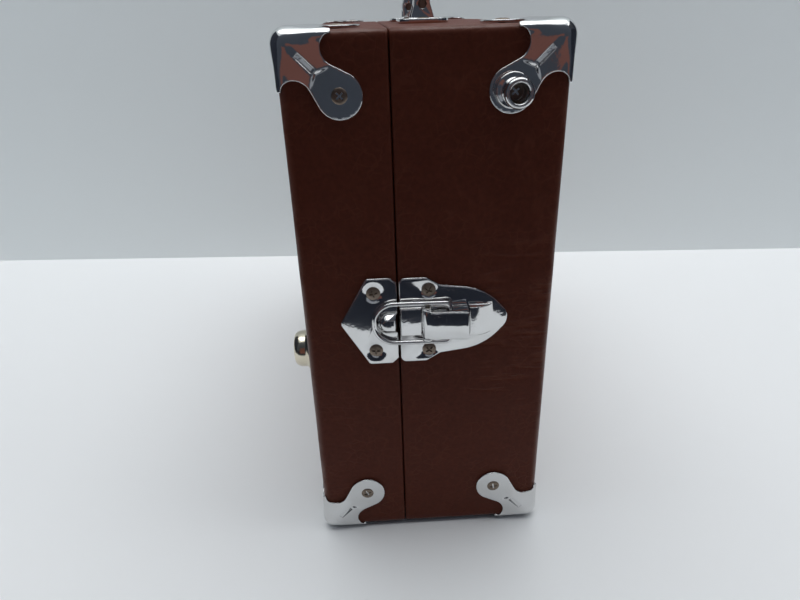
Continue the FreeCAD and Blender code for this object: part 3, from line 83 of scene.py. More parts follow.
# The studio: a white table, a pale wall behind it, soft light from above, and cards out of sight:
# dark, black, warm and white ones that the polished metal mirrors, and one dark shade card that only
# blocks light and so shades the near end of the case. None of it belongs to the tester.
TABLE_COLOUR = (0.76, 0.77, 0.78, 1)
WALL_COLOUR = (0.87, 0.905, 0.91, 1)
DARK_CARD = (0.115, 0.13, 0.16, 1)
BLACK_CARD = (0.018, 0.022, 0.036, 1)
WHITE_CARD = (0.85, 0.86, 0.88, 1)
WARM_CARD = (0.42, 0.17, 0.13, 1)
TABLE_HALF = 3.0
WALL_BEHIND = 0.094
WALL_H = 2.0
WALL_TURN = -4.9
CARD_AWAY = 0.225
SHADE_AWAY = 0.15
CARD_H = 0.75
CARD_W = 3 * CARD_H
CARD_LAYER = 0.005
LOW_BLACK = (CARD_W, 0.13)
SIDE_WARM = (0.09, 0.15)
UPPER_WARM = (0.22, 0.035)
LOW_WHITE = (0.16, 0.05)
SKY_COLOUR = (0.62, 0.66, 0.68, 1)
SKY_STRENGTH = 1.2


def plain_finish(name, colour, roughness):
    finish = bpy.data.materials.new(name)
    finish.use_nodes = True
    shader = finish.node_tree.nodes["Principled BSDF"]
    shader.inputs["Base Color"].default_value = colour
    shader.inputs["Roughness"].default_value = roughness
    return finish


def close_mesh(name, bm):
    mesh = bpy.data.meshes.new(name)
    bm.to_mesh(mesh)
    bm.free()
    return mesh


def stage_sheet(name, width, height, turn, place, finish):
    bm = bmesh.new()
    bmesh.ops.create_grid(bm, x_segments=1, y_segments=1, size=0.5)
    bmesh.ops.scale(bm, vec=(width, height, 1), verts=bm.verts)
    bmesh.ops.rotate(bm, cent=(0, 0, 0), matrix=turn, verts=bm.verts)
    bmesh.ops.translate(bm, vec=place, verts=bm.verts)
    mesh = close_mesh(name, bm)
    mesh.materials.append(finish)
    sheet = bpy.data.objects.new(name, mesh)
    bpy.context.scene.collection.objects.link(sheet)
    return sheet


def see_through_back(finish):
    """A sheet that shows only from its front, so that views from behind it aren't blocked."""
    tree = finish.node_tree
    clear = tree.nodes.new("ShaderNodeBsdfTransparent")
    side = tree.nodes.new("ShaderNodeNewGeometry")
    pick = tree.nodes.new("ShaderNodeMixShader")
    tree.links.new(side.outputs["Backfacing"], pick.inputs["Fac"])
    tree.links.new(tree.nodes["Principled BSDF"].outputs["BSDF"], pick.inputs[1])
    tree.links.new(clear.outputs["BSDF"], pick.inputs[2])
    tree.links.new(pick.outputs["Shader"], tree.nodes["Material Output"].inputs["Surface"])


UPRIGHT = Matrix.Rotation(math.pi / 2, 3, "X")
table_finish = plain_finish("table", TABLE_COLOUR, roughness=0.6)
stage_sheet("table", 2 * TABLE_HALF, 2 * TABLE_HALF, Matrix.Identity(3), (0, 0, 0), table_finish)
wall_finish = plain_finish("wall", WALL_COLOUR, roughness=0.9)
see_through_back(wall_finish)
wall_y = case_high.y + WALL_BEHIND
wall_turn = Matrix.Rotation(math.radians(WALL_TURN), 3, "Z") @ UPRIGHT
wall = stage_sheet("wall", 2 * TABLE_HALF, WALL_H, wall_turn, (0, wall_y, WALL_H / 2), wall_finish)
wall.visible_shadow = False
dark_card = plain_finish("dark card", DARK_CARD, roughness=0.9)
black_card = plain_finish("black card", BLACK_CARD, roughness=0.9)
warm_card = plain_finish("warm card", WARM_CARD, roughness=0.9)
white_card = plain_finish("white card", WHITE_CARD, roughness=0.9)
front_y = case_low.y - CARD_AWAY
# Each card has a name, a turn in degrees, a width and height, a middle and a finish.
for name, turn, (width, height), place, finish in (
    ("front_card", 0, (CARD_W, CARD_H), (0, front_y, CARD_H / 2), dark_card),
    ("left_card", -90, (CARD_W, CARD_H), (case_low.x - 2 * CARD_AWAY, 0, CARD_H / 2), black_card),
    ("right_card", 90, (CARD_W, CARD_H), (case_high.x + 2 * CARD_AWAY, 0, CARD_H / 2), black_card),
    ("low_black_card", 0, LOW_BLACK, (0, front_y + CARD_LAYER, LOW_BLACK[1] / 2), black_card),
    ("shade_card", 0, (CARD_W, CARD_H), (0, case_low.y - SHADE_AWAY, CARD_H / 2), dark_card),
    ("left_warm_card", 0, SIDE_WARM, (-0.145, front_y + 2 * CARD_LAYER, 0.145), warm_card),
    ("right_warm_card", 0, SIDE_WARM, (0.205, front_y + 2 * CARD_LAYER, 0.145), warm_card),
    ("upper_warm_card", 0, UPPER_WARM, (0.02, front_y + 2 * CARD_LAYER, 0.247), warm_card),
    ("low_white_card", 0, LOW_WHITE, (0.02, front_y + 4 * CARD_LAYER, 0.125), white_card),
):
    # The shade card blocks only diffuse light, from the sky and off the table in front of the case,
    # which shades its near end; the other cards show only in glossy reflections.
    facing = Matrix.Rotation(math.radians(turn), 3, "Z") @ UPRIGHT
    card = stage_sheet(name, width, height, facing, place, finish)
    card.visible_camera = False
    card.visible_diffuse = name == "shade_card"
    card.visible_glossy = name != "shade_card"
    card.visible_shadow = False


def lamp(name, place, target, size, power):
    data = bpy.data.lights.new(name, "AREA")
    data.shape = "DISK"
    data.size = size
    data.energy = power
    made = bpy.data.objects.new(name, data)
    made.location = place
    made.rotation_euler = (Vector(target) - Vector(place)).to_track_quat("-Z", "Y").to_euler()
    bpy.context.scene.collection.objects.link(made)


lamp("ceiling", place=(0, 0.35, 1.7), target=(0, 0.2, 0.1), size=2.2, power=24)
lamp("window", place=(1.3, -0.3, 1.3), target=(0, 0, 0.1), size=0.9, power=3)
world = bpy.data.worlds.new("studio")
world.use_nodes = True
sky = world.node_tree.nodes["Background"]
sky.inputs["Color"].default_value = SKY_COLOUR
sky.inputs["Strength"].default_value = SKY_STRENGTH
bpy.context.scene.world = world


# The two trays of the case: plywood boards glued at the corners, left bare inside and seen only when
# the lid is off. Two rails of the same wood carry the panel.
MM = 0.001
PLY_DARK = (0.50, 0.31, 0.15, 1)
PLY_PALE = (0.68, 0.48, 0.28, 1)
FIBRE_H = 0.06 * MM


class Tone:
    """One socket of a finish, so that what changes over a surface can be written as a sum."""

    def __init__(self, tree, socket=None):
        self.tree = tree
        self.socket = socket

    def node(self, kind, settings=None, inputs=None, out=0):
        """Any node: its settings come first, then the values or links of its sockets."""
        made = self.tree.nodes.new(kind)
        for name, value in (settings or {}).items():
            setattr(made, name, value)
        for name, value in (inputs or {}).items():
            if isinstance(value, Tone):
                self.tree.links.new(value.socket, made.inputs[name])
            else:
                made.inputs[name].default_value = value
        return Tone(self.tree, made.outputs[out])

    def math(self, operation, first, second=0.0):
        return self.node("ShaderNodeMath", {"operation": operation}, {0: first, 1: second})

    def __add__(self, other):
        return self.math("ADD", self, other)

    def __sub__(self, other):
        return self.math("SUBTRACT", self, other)

    def __rsub__(self, other):
        return self.math("SUBTRACT", other, self)

    def __mul__(self, other):
        return self.math("MULTIPLY", self, other)

    __radd__ = __add__
    __rmul__ = __mul__

    def size(self):
        return self.math("ABSOLUTE", self)

    def step(self, low, high):
        """0 below low, 1 above high, and a smooth rise between them."""
        return self.node(
            "ShaderNodeMapRange", {"interpolation_type": "SMOOTHSTEP"},
            {"Value": self, "From Min": low, "From Max": high},
        )

    def mix(self, low, high):
        """A colour between two, with this value as the share of the second."""
        return self.node("ShaderNodeMix", {"data_type": "RGBA"}, {0: self, 6: low, 7: high}, out=2)

    def noise(self, scale, detail=3.0, stretch=(1, 1, 1)):
        place = self.node("ShaderNodeMapping", None, {"Vector": self, "Scale": stretch})
        return self.node(
            "ShaderNodeTexNoise", None, {"Vector": place, "Scale": scale, "Detail": detail}
        )

    def bump(self, height, **over):
        """A surface normal for this relief, whose full height is given in metres."""
        return self.node(
            "ShaderNodeBump", None, {"Height": self, "Distance": height, "Strength": 1.0, **over}
        )


def begin_finish(name, **fixed):
    """A new material, its shader with fixed sockets set, and the place on the piece to paint by."""
    made = bpy.data.materials.new(name)
    made.use_nodes = True
    shader = made.node_tree.nodes["Principled BSDF"]
    for socket, value in fixed.items():
        shader.inputs[socket.replace("_", " ")].default_value = value
    place = Tone(made.node_tree).node("ShaderNodeTexCoord", out="Object")
    return made, shader, place


def paint(shader, **links):
    for socket, tone in links.items():
        tone.tree.links.new(tone.socket, shader.inputs[socket.replace("_", " ")])


def part_of(place, axis):
    return place.node("ShaderNodeSeparateXYZ", None, {"Vector": place}, out=axis)


def wear_finish(node, finish):
    """Give a solid that is right as it is its finish."""
    frame["nodes"][node].data.materials.clear()
    frame["nodes"][node].data.materials.append(finish)


plywood, shader, place = begin_finish("plywood", Specular_IOR_Level=0.3)
rings = place.noise(22, 4, (1, 0.12, 1))
fibre = place.noise(420, 2, (1, 0.03, 1))
wood = (rings * 0.7 + fibre * 0.4).mix(PLY_DARK, PLY_PALE)
paint(shader, Base_Color=wood, Roughness=0.55 + fibre * 0.2, Normal=fibre.bump(FIBRE_H))
for node in ("lid_box", "base_box", "panel_rails"):
    wear_finish(node, plywood)


# The covering: brown embossed leatherette glued round each tray and turned in over its rim. It has
# a fine grain, shallow waves where the glue let go and creases beside the latch.
EDGE_ROUND = 2.6 * MM
RIM_ROUND = 1.0 * MM
HIDE_T = 0.7 * MM
TURN_IN = 8.6 * MM
CELL = 2.5 * MM
WAVE_H = 0.10 * MM
WAVE_SET_BACK = 0.6
LONG_WAVES = 24
SHORT_WAVES = 60
SHORT_WAVE_SHIFT = Vector((3, 1, 7))
HIDE_DARK = (0.070, 0.0150, 0.0070, 1)
HIDE_PALE = (0.118, 0.0262, 0.0128, 1)
WRINKLE_BROWN = (0.15, 0.045, 0.024, 1)
CREASE_BROWN = (0.17, 0.05, 0.026, 1)
RUBBED_BROWN = (0.17, 0.055, 0.03, 1)
GRAIN_H = 0.11 * MM
CREASE_FOOT = (0.055, 0.085)
CREASE_TOP = (0.125, 0.165)
CREASE_SIDE = (0.012, 0.03)
SLANT_FOOT = (0.11, 0.15)
SLANT_SIDE = (-0.01, 0.02)
WRINKLE_CELLS = 210
WRINKLE_PULL = (0.012, 0.012, 0.007)
RUB_X = 48.5 * MM
RUB_Y = 136.5 * MM
RUB_TOP = 224.3 * MM
RUB_FOOT = 5 * MM
RUB_W = 3 * MM


def same(first, second):
    return abs(first - second) < 1e-5


def round_edges(bm, edges, width, segments):
    bmesh.ops.bevel(
        bm, geom=edges, offset=width, offset_type="OFFSET", affect="EDGES", segments=segments,
        profile=0.5, clamp_overlap=True, material=-1,
    )


def add_piece(name, bm, finish, body, slot, *nodes, crease=40):
    """Turn a mesh into a piece that rides on a body and stands for the solids it covers."""
    mesh = close_mesh(name, bm)
    mesh.shade_smooth()
    mesh.set_sharp_from_angle(angle=math.radians(crease))
    mesh.materials.append(finish)
    made = bpy.data.objects.new(name, mesh)
    bpy.context.scene.collection.objects.link(made)
    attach(made, body)
    if nodes:
        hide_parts(*nodes)
    return made


def box_between(bm, low, high):
    made = bmesh.ops.create_cube(bm, size=1)["verts"]
    bmesh.ops.scale(bm, vec=Vector(high) - Vector(low), verts=made)
    bmesh.ops.translate(bm, vec=(Vector(low) + Vector(high)) / 2, verts=made)


def covering(half, rim_x, inward):
    low, high = map(Vector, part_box(f"{half}_covering"))
    bm = bmesh.new()
    box_between(bm, low, high)

    def on_rim(part):
        return all(same(v.co.x, rim_x) for v in part.verts)

    round_edges(bm, [e for e in bm.edges if not on_rim(e)], EDGE_ROUND, 5)
    round_edges(bm, [e for e in bm.edges if on_rim(e)], RIM_ROUND, 3)
    bmesh.ops.delete(bm, geom=[f for f in bm.faces if on_rim(f)], context="FACES_ONLY")
    for axis in range(3):
        runs = [e for e in bm.edges if abs((e.verts[1].co - e.verts[0].co)[axis]) > 4 * EDGE_ROUND]
        length = (high - low)[axis]
        bmesh.ops.subdivide_edges(bm, edges=runs, cuts=int(length / CELL), use_grid_fill=True)
    bmesh.ops.recalc_face_normals(bm, faces=bm.faces)
    bm.normal_update()
    for v in bm.verts:
        wave = noise.noise(v.co * LONG_WAVES)
        wave += 0.5 * noise.noise(v.co * SHORT_WAVES + SHORT_WAVE_SHIFT)
        v.co += v.normal * WAVE_H * (wave - WAVE_SET_BACK)
    rim = [e for e in bm.edges if e.is_boundary]
    for sink in (0, HIDE_T):
        made = bmesh.ops.extrude_edge_only(bm, edges=rim)["geom"]
        rim = [part for part in made if isinstance(part, bmesh.types.BMEdge)]
        for v in {v for e in rim for v in e.verts}:
            v.co.y = max(low.y + TURN_IN, min(high.y - TURN_IN, v.co.y))
            v.co.z = max(low.z + TURN_IN, min(high.z - TURN_IN, v.co.z))
            v.co.x = rim_x + inward * sink
    bmesh.ops.remove_doubles(bm, verts=bm.verts, dist=1e-6)
    bmesh.ops.recalc_face_normals(bm, faces=bm.faces)
    made = add_piece(f"{half}_hide", bm, leatherette, half, "leatherette", f"{half}_covering")
    wall = made.modifiers.new("thickness", "SOLIDIFY")
    wall.thickness = HIDE_T
    wall.offset = -1


leatherette, shader, place = begin_finish(
    "leatherette", Specular_IOR_Level=0.14, Coat_Roughness=0.28, Coat_IOR=1.5
)
across = part_of(place, "X")
along = part_of(place, "Y")
height = part_of(place, "Z")
cells = place.node(
    "ShaderNodeTexVoronoi", {"feature": "SMOOTH_F1"},
    {"Vector": place, "Scale": 900, "Smoothness": 0.6}, out="Distance",
)
pores = place.noise(2600, 2)
cloud = place.noise(16, 3)
blotch = place.noise(70, 4)
folds = place.noise(26, 5, (0.9, 0.9, 5.5))
lines = (1 - (folds * 2 - 1).size() * 6).step(0, 1) * blotch.step(0.35, 0.65)
beside_latch = (
    height.step(*CREASE_FOOT) * (1 - height.step(*CREASE_TOP)) * across.step(*CREASE_SIDE)
)
slack = place.noise(30, 4, (2.4, 1, 1.3))
slants = (1 - (slack * 2 - 1).size() * 8).step(0.1, 1) * blotch.step(0.4, 0.7) * 0.5
high_up = height.step(*SLANT_FOOT) * across.step(*SLANT_SIDE)
creases = lines * beside_latch * 0.8 + slants * high_up + lines * 0.1
near_x = (across.size() - RUB_X).step(0, RUB_W)
near_y = (along.size() - RUB_Y).step(0, RUB_W)
near_z = (height - RUB_TOP).step(0, RUB_W) + (RUB_FOOT - height).step(0, RUB_W)
edge_rub = (near_x * near_y + near_y * near_z + near_x * near_z) * blotch.step(0.25, 0.6)
wander = place.node(
    "ShaderNodeTexNoise", None, {"Vector": place, "Scale": 80, "Detail": 3}, out="Color"
)
pulled = place.node(
    "ShaderNodeVectorMath", {"operation": "MULTIPLY_ADD"}, {0: wander, 1: WRINKLE_PULL, 2: place}
)
network = pulled.node(
    "ShaderNodeTexVoronoi", {"feature": "DISTANCE_TO_EDGE"},
    {"Vector": pulled, "Scale": WRINKLE_CELLS}, out="Distance",
)
wrinkles = (1 - network.step(0, 0.1)) * place.noise(90, 3).step(0.35, 0.65)
grain = place.noise(520, 3)
shades = cloud * 0.06 + blotch * 0.08 + grain * 0.9 - 0.03
brown = shades.mix(HIDE_DARK, HIDE_PALE)
brown = (wrinkles * 0.26).mix(brown, WRINKLE_BROWN)
brown = (creases * 0.45).mix(brown, CREASE_BROWN)
brown = (edge_rub * 0.3).mix(brown, RUBBED_BROWN)
relief = (
    cells * 0.5 + pores * 0.12 - creases * 3.2 + blotch * 0.2 + grain * 0.6 - wrinkles * 0.7
)
paint(
    shader, Base_Color=brown, Roughness=0.40 + blotch * 0.16 + pores * 0.08 - edge_rub * 0.05,
    Coat_Weight=edge_rub * 0.7, Normal=relief.bump(GRAIN_H),
)
covering("lid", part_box("lid_covering")[1][0], -1)
covering("base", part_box("base_covering")[0][0], 1)


# Corner caps: each pressed from one chromed sheet with a rounded corner and three legs. A leg is
# ridged along its middle, pierced by a slot, waisted, and ends in a round lobe with a screw. Sizes
# are in mm from the corner's edges, and an arc has its middle, its radius and two angles.
CAP_T = 0.9 * MM
CAP_ROUND = 6.2
CAP_FOLD = 21.4
CAP_NOTCH = (24.0, 7.2, 6.4, 246, 117)
CAP_LOBE = (23.1, 23.1, 8.2, -63, 45)
NOTCH_CUTS = 20
LOBE_CUTS = 24
CAP_SLOT = (13.1, 20.6, 1.0)
CAP_TONGUE = (0.12, 1.6)
CAP_STEP = (20.8, 22.4)
CAP_STEP_V = 0.45
CAP_STEP_CUTS = 5
CAP_CELLS = 35
CAP_ROUND_CELLS = 8
CAP_MERGE = 0.03 * MM
CAP_SINK = 0.6
CAP_ROOF = 0.13
CAP_ROOF_MOST = 0.95
CAP_RIDGE = 1.3
CAP_FIELD_RIM = (1.5, 6.0)
CAP_FIELD_START = (7.0, 12.0)
CAP_BITE = 0.2 * MM
CAP_BITE_ANGLE = 55
ROLLED_R = 0.7 * MM
CHROME_BRIGHT = (0.74, 0.75, 0.76, 1)
CHROME_WORN = (0.52, 0.50, 0.47, 1)
CHROME_WAVE_H = 0.18 * MM
CORNERS = {
    "base": (("upper_near", (1, -1, 1)), ("upper_far", (1, 1, 1)),
             ("lower_near", (1, -1, -1)), ("lower_far", (1, 1, -1))),
    "lid": (("upper_near", (-1, -1, 1)), ("upper_far", (-1, 1, 1)),
            ("lower_near", (-1, -1, -1)), ("lower_far", (-1, 1, -1))),
}


def verts_in(geom):
    return [part for part in geom if isinstance(part, bmesh.types.BMVert)]


def blend(value, low, high):
    share = max(0.0, min(1.0, (value - low) / (high - low)))
    return share * share * (3 - 2 * share)


def arc(a, b, radius, start, end, count):
    """Points along an arc, as distances from the two edges that a leg lies between."""
    turns = [math.radians(start + (end - start) * k / count) for k in range(count + 1)]
    return [(a + radius * math.cos(t), b + radius * math.sin(t)) for t in turns]


def leg_side():
    """One side of a leg from the corner to its tip, as distances from the two edges."""
    points = [(0.0, 0.0), (CAP_FOLD, 0.0)] + arc(*CAP_NOTCH, NOTCH_CUTS)
    return points + arc(*CAP_LOBE, LOBE_CUTS)


def leg_height(along, off):
    """How far the sheet lies under the cap's outer face: a sloping ridge, then the lobe."""
    lobe = blend(along - CAP_STEP_V * abs(off), *CAP_STEP)
    inside = (along - abs(off)) / math.sqrt(2)
    roof = min(CAP_ROOF_MOST, CAP_ROOF * max(0.0, abs(off) - CAP_RIDGE))
    field = roof * blend(inside, *CAP_FIELD_RIM) * blend(along, *CAP_FIELD_START)
    return CAP_SINK * lobe + field * (1 - lobe)


def cap_leg(bm):
    """One leg: cut from flat sheet, lanced, and formed over the corner in small squares."""
    side = leg_side()
    rim = side + [(b, a) for a, b in reversed(side[1:-1])]
    bm.faces.new([bm.verts.new((a * MM, b * MM, 0)) for a, b in rim])
    onward = Vector((1, 1, 0)).normalized()
    sideways = Vector((1, -1, 0)).normalized()
    slot_start, slot_end, slot_half = CAP_SLOT
    cuts = [(onward, slot_start), (onward, slot_end), (sideways, slot_half), (sideways, -slot_half)]
    cuts += [(sideways, CAP_RIDGE), (sideways, -CAP_RIDGE)]
    for k in range(CAP_STEP_CUTS + 1):
        at = CAP_STEP[0] + (CAP_STEP[1] - CAP_STEP[0]) * k / CAP_STEP_CUTS
        cuts += [(onward - sideways * CAP_STEP_V, at), (onward + sideways * CAP_STEP_V, at)]
    for k in range(1, CAP_CELLS):
        at = CAP_ROUND * min(1, k / CAP_ROUND_CELLS) + max(0, k - CAP_ROUND_CELLS)
        cuts += [(Vector((1, 0, 0)), at), (Vector((0, 1, 0)), at)]
    for normal, at in cuts:
        bmesh.ops.bisect_plane(
            bm, geom=bm.verts[:] + bm.edges[:] + bm.faces[:], dist=1e-7,
            plane_co=normal * (at * MM / normal.length_squared), plane_no=normal,
        )
    slot = []
    for face in bm.faces:
        spot = face.calc_center_median() / MM
        if slot_start < spot.dot(onward) < slot_end and abs(spot.dot(sideways)) < slot_half:
            slot.append(face)
    tongue = bmesh.ops.extrude_face_region(bm, geom=slot)["geom"]
    bmesh.ops.delete(bm, geom=slot, context="FACES")
    sunk = set(verts_in(tongue))
    for v in bm.verts:
        spot = v.co / MM
        along = spot.dot(onward)
        core = Vector((max(spot.x, CAP_ROUND), max(spot.y, CAP_ROUND), CAP_ROUND))
        out = (spot - core).normalized()
        v.co = (core + out * (CAP_ROUND - leg_height(along, spot.dot(sideways)))) * MM
        if v in sunk:
            slope = (along - slot_start) / (slot_end - slot_start)
            v.co.z += (CAP_TONGUE[0] + (CAP_TONGUE[1] - CAP_TONGUE[0]) * slope) * MM


def corner_cap(half, name, sign):
    node = f"{half}_corner_{name}"
    low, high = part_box(node)
    tip = Vector([high[k] if sign[k] > 0 else low[k] for k in range(3)])
    bm = bmesh.new()
    cap_leg(bm)
    first = bm.verts[:] + bm.edges[:] + bm.faces[:]
    for turn in (120, 240):
        copy = bmesh.ops.duplicate(bm, geom=first)["geom"]
        round_corner = Matrix.Rotation(math.radians(turn), 3, Vector((1, 1, 1)))
        bmesh.ops.rotate(bm, cent=(0, 0, 0), matrix=round_corner, verts=verts_in(copy))
    bmesh.ops.remove_doubles(bm, verts=bm.verts, dist=CAP_MERGE)
    bmesh.ops.scale(bm, vec=[-s for s in sign], verts=bm.verts)
    bmesh.ops.translate(bm, vec=tip, verts=bm.verts)
    bmesh.ops.recalc_face_normals(bm, faces=bm.faces)
    centre = (case_low + case_high) / 2
    if sum((f.calc_center_median() - centre).dot(f.normal) for f in bm.faces) < 0:
        bmesh.ops.reverse_faces(bm, faces=bm.faces)
    made = add_piece(node.replace("corner", "cap"), bm, chrome, half, "chrome", node, crease=60)
    wall = made.modifiers.new("sheet", "SOLIDIFY")
    wall.thickness = CAP_T
    wall.offset = -1
    rim = made.modifiers.new("broken edge", "BEVEL")
    rim.width = CAP_BITE
    rim.segments = 2
    rim.limit_method = "ANGLE"
    rim.angle_limit = math.radians(CAP_BITE_ANGLE)


chrome, shader, place = begin_finish("chrome", Metallic=1.0)
haze = place.noise(90, 4)
pits = place.noise(900, 3)
worn = pits.step(0.62, 0.74) * haze.step(0.45, 0.65)
rolled = place.node("ShaderNodeBevel", {"samples": 6}, {"Radius": ROLLED_R})
steel = (haze * 0.5 + worn * 0.4).mix(CHROME_BRIGHT, CHROME_WORN)
paint(
    shader, Base_Color=steel, Roughness=0.035 + haze * 0.05 + worn * 0.2,
    Normal=(haze * 0.6 + pits * 0.02).bump(CHROME_WAVE_H, Normal=rolled),
)
for half, corners in CORNERS.items():
    for name, sign in corners:
        corner_cap(half, name, sign)


# Screws: small oval-headed steel screws with a cross recess, their plating gone brown with age. They
# hold the caps, the latches, the handle, the feet and the panel in the wood.
SCREW_HEAD = 2.9
SCREW_SHANK = 1.5
SCREW_POINT = 1.5
SCREW_SINK = 0.9
SCREW_DOME = 0.5
DOME_TURNS = (0.0, 0.4, 0.75)
RECESS_HALF = 0.36
RECESS_REACH = 1.75
RECESS_DEPTH = 0.75
RECESS_TAPER = 0.75
FIRST_TURN = 0.7
NEXT_TURN = 1.9
RING_ANGLE = 0.6
TARNISH_DARK = (0.10, 0.075, 0.058, 1)
TARNISH_PALE = (0.33, 0.27, 0.22, 1)
TARNISH_H = 0.04 * MM


def turned(bm, outline, steps, rounding=0.0):
    """Spin an outline of radii and heights, in mm, round the upright axis. Rings may be rounded."""
    points = [bm.verts.new((radius * MM, 0, rise * MM)) for radius, rise in outline]
    runs = [bm.edges.new(pair) for pair in zip(points, points[1:])]
    bmesh.ops.spin(
        bm, geom=points + runs, cent=(0, 0, 0), axis=(0, 0, 1), angle=2 * math.pi, steps=steps,
        use_merge=True,
    )
    bmesh.ops.remove_doubles(bm, verts=bm.verts, dist=1e-7)
    bmesh.ops.recalc_face_normals(bm, faces=bm.faces)
    if rounding:
        rings = [e for e in bm.edges if same(e.verts[0].co.z, e.verts[1].co.z)]
        rings = [e for e in rings if len(e.link_faces) == 2 and e.calc_face_angle(0) > RING_ANGLE]
        round_edges(bm, rings, rounding * MM, 3)


def stamp(bm, model, place, outward, turn=0.0):
    """Add a copy of a small mesh that stands on a place and points outward."""
    old = set(bm.verts)
    bm.from_mesh(model)
    fresh = [v for v in bm.verts if v not in old]
    aim = Vector((0, 0, 1)).rotation_difference(outward).to_matrix() @ Matrix.Rotation(turn, 3, "Z")
    bmesh.ops.rotate(bm, cent=(0, 0, 0), matrix=aim, verts=fresh)
    bmesh.ops.translate(bm, vec=place, verts=fresh)


def group_middle(group):
    return [(min(p[k] for p in group) + max(p[k] for p in group)) / 2 for k in range(3)]


def group_size(group):
    return [max(p[k] for p in group) - min(p[k] for p in group) for k in range(3)]


def solids_of(node):
    """The separate solids in a node, each as the points of its mesh."""
    bm = bmesh.new()
    bm.from_mesh(frame["nodes"][node].data)
    bmesh.ops.remove_doubles(bm, verts=bm.verts, dist=1e-6)
    left = set(bm.verts)
    found = []
    while left:
        queue = [left.pop()]
        group = []
        while queue:
            v = queue.pop()
            group.append(v.co.copy())
            for e in v.link_edges:
                other = e.other_vert(v)
                if other in left:
                    left.remove(other)
                    queue.append(other)
        found.append(group)
    bm.free()
    return sorted(found, key=lambda group: tuple(round(c, 4) for c in group_middle(group)))


def screw_seats(node):
    """Where each screw's head meets what it holds, and the way it faces."""
    for group in solids_of(node):
        size = group_size(group)
        axis = size.index(max(size))
        middle = Vector(group_middle(group))
        head = max(group, key=lambda p: sum((p[k] - middle[k]) ** 2 for k in range(3) if k != axis))
        outward = Vector([0, 0, 0])
        outward[axis] = math.copysign(1, head[axis] - middle[axis])
        seat = middle.copy()
        seat[axis] += outward[axis] * (size[axis] / 2 - SCREW_DOME * MM)
        yield seat, outward, max(size) / MM


def screw_model(length):
    bm = bmesh.new()
    dome = [(SCREW_HEAD * math.cos(t), SCREW_DOME * math.sin(t)) for t in DOME_TURNS]
    turned(bm, [
        (0, SCREW_DOME - length), (SCREW_SHANK, SCREW_DOME + SCREW_POINT - length),
        (SCREW_SHANK, -SCREW_SINK), *dome, (RECESS_REACH, 0.8 * SCREW_DOME),
        (0.9, 0.95 * SCREW_DOME), (0, SCREW_DOME),
    ], 32)
    for normal in (Vector((1, 0, 0)), Vector((0, 1, 0))):
        for sign in (-1, 1):
            bmesh.ops.bisect_plane(
                bm, geom=bm.verts[:] + bm.edges[:] + bm.faces[:], dist=1e-7,
                plane_co=normal * sign * RECESS_HALF * MM, plane_no=normal,
            )
    cross = []
    for face in bm.faces:
        spot = face.calc_center_median() / MM
        on_cross = min(abs(spot.x), abs(spot.y)) < RECESS_HALF
        if on_cross and spot.z > 0.1 and spot.xy.length < RECESS_REACH:
            cross.append(face)
    sunk = bmesh.ops.extrude_face_region(bm, geom=cross)["geom"]
    bmesh.ops.delete(bm, geom=cross, context="FACES")
    floor = verts_in(sunk)
    bmesh.ops.translate(bm, vec=(0, 0, -RECESS_DEPTH * MM), verts=floor)
    bmesh.ops.scale(bm, vec=(RECESS_TAPER, RECESS_TAPER, 1), verts=floor)
    bmesh.ops.recalc_face_normals(bm, faces=bm.faces)
    return close_mesh("screw", bm)


aged_steel, shader, place = begin_finish("aged steel", Metallic=1.0)
bloom = place.noise(700, 4)
stain = place.noise(160, 3)
tarnish = (stain * 0.7 + bloom * 0.5).mix(TARNISH_DARK, TARNISH_PALE)
paint(
    shader, Base_Color=tarnish, Roughness=0.22 + bloom * 0.25 + stain * 0.1,
    Normal=bloom.bump(TARNISH_H),
)
for node, body in (
    ("lid_screws", "lid"), ("lid_foot_screws", "lid"), ("base_screws", "base"),
    ("base_long_screws", "base"), ("panel_screws", "base"),
):
    bm = bmesh.new()
    models = {}
    for count, (seat, outward, length) in enumerate(screw_seats(node)):
        key = round(length, 1)
        if key not in models:
            models[key] = screw_model(length)
        stamp(bm, models[key], seat, outward, turn=FIRST_TURN + NEXT_TURN * count)
    name = node.replace("screws", "screw_set")
    add_piece(name, bm, aged_steel, body, "screw_steel", node, crease=30)


# Strap studs: turned and chromed, a wide foot under a thin neck and a rim that a strap buttons over.
# A long screw sits deep in each dished end. Outlines are radii and heights in mm.
STUD = [
    (0, 0), (6.4, 0), (6.4, 2.2), (6.1, 2.6), (4.5, 2.9), (4.0, 3.5), (4.0, 8.0), (4.5, 8.9),
    (5.1, 9.8), (5.3, 10.7), (5.2, 11.5), (4.8, 12.1), (4.2, 12.4), (3.7, 12.3), (3.3, 11.8),
    (3.1, 10.9), (3.05, 5.0), (0, 5.0),
]
RIM_ROUNDING = 0.3


def on_seat(node, outline, rounding, finish, body, slot, name):
    """Turn a piece for every solid of a node, standing on its inner face."""
    bm = bmesh.new()
    shape = bmesh.new()
    turned(shape, outline, 48, rounding)
    model = close_mesh(name, shape)
    centre = (case_low + case_high) / 2
    rise = max(height for _, height in outline) * MM
    for group in solids_of(node):
        middle = Vector(group_middle(group))
        size = group_size(group)
        axis = min(range(3), key=lambda k: abs(size[k] - rise))
        outward = Vector([0, 0, 0])
        outward[axis] = math.copysign(1, middle[axis] - centre[axis])
        stamp(bm, model, middle - outward * rise / 2, outward)
    add_piece(name, bm, finish, body, slot, node, crease=50)


for end in ("near", "far"):
    on_seat(
        f"strap_stud_{end}", STUD, RIM_ROUNDING, chrome, "base", "chrome", f"strap_button_{end}"
    )


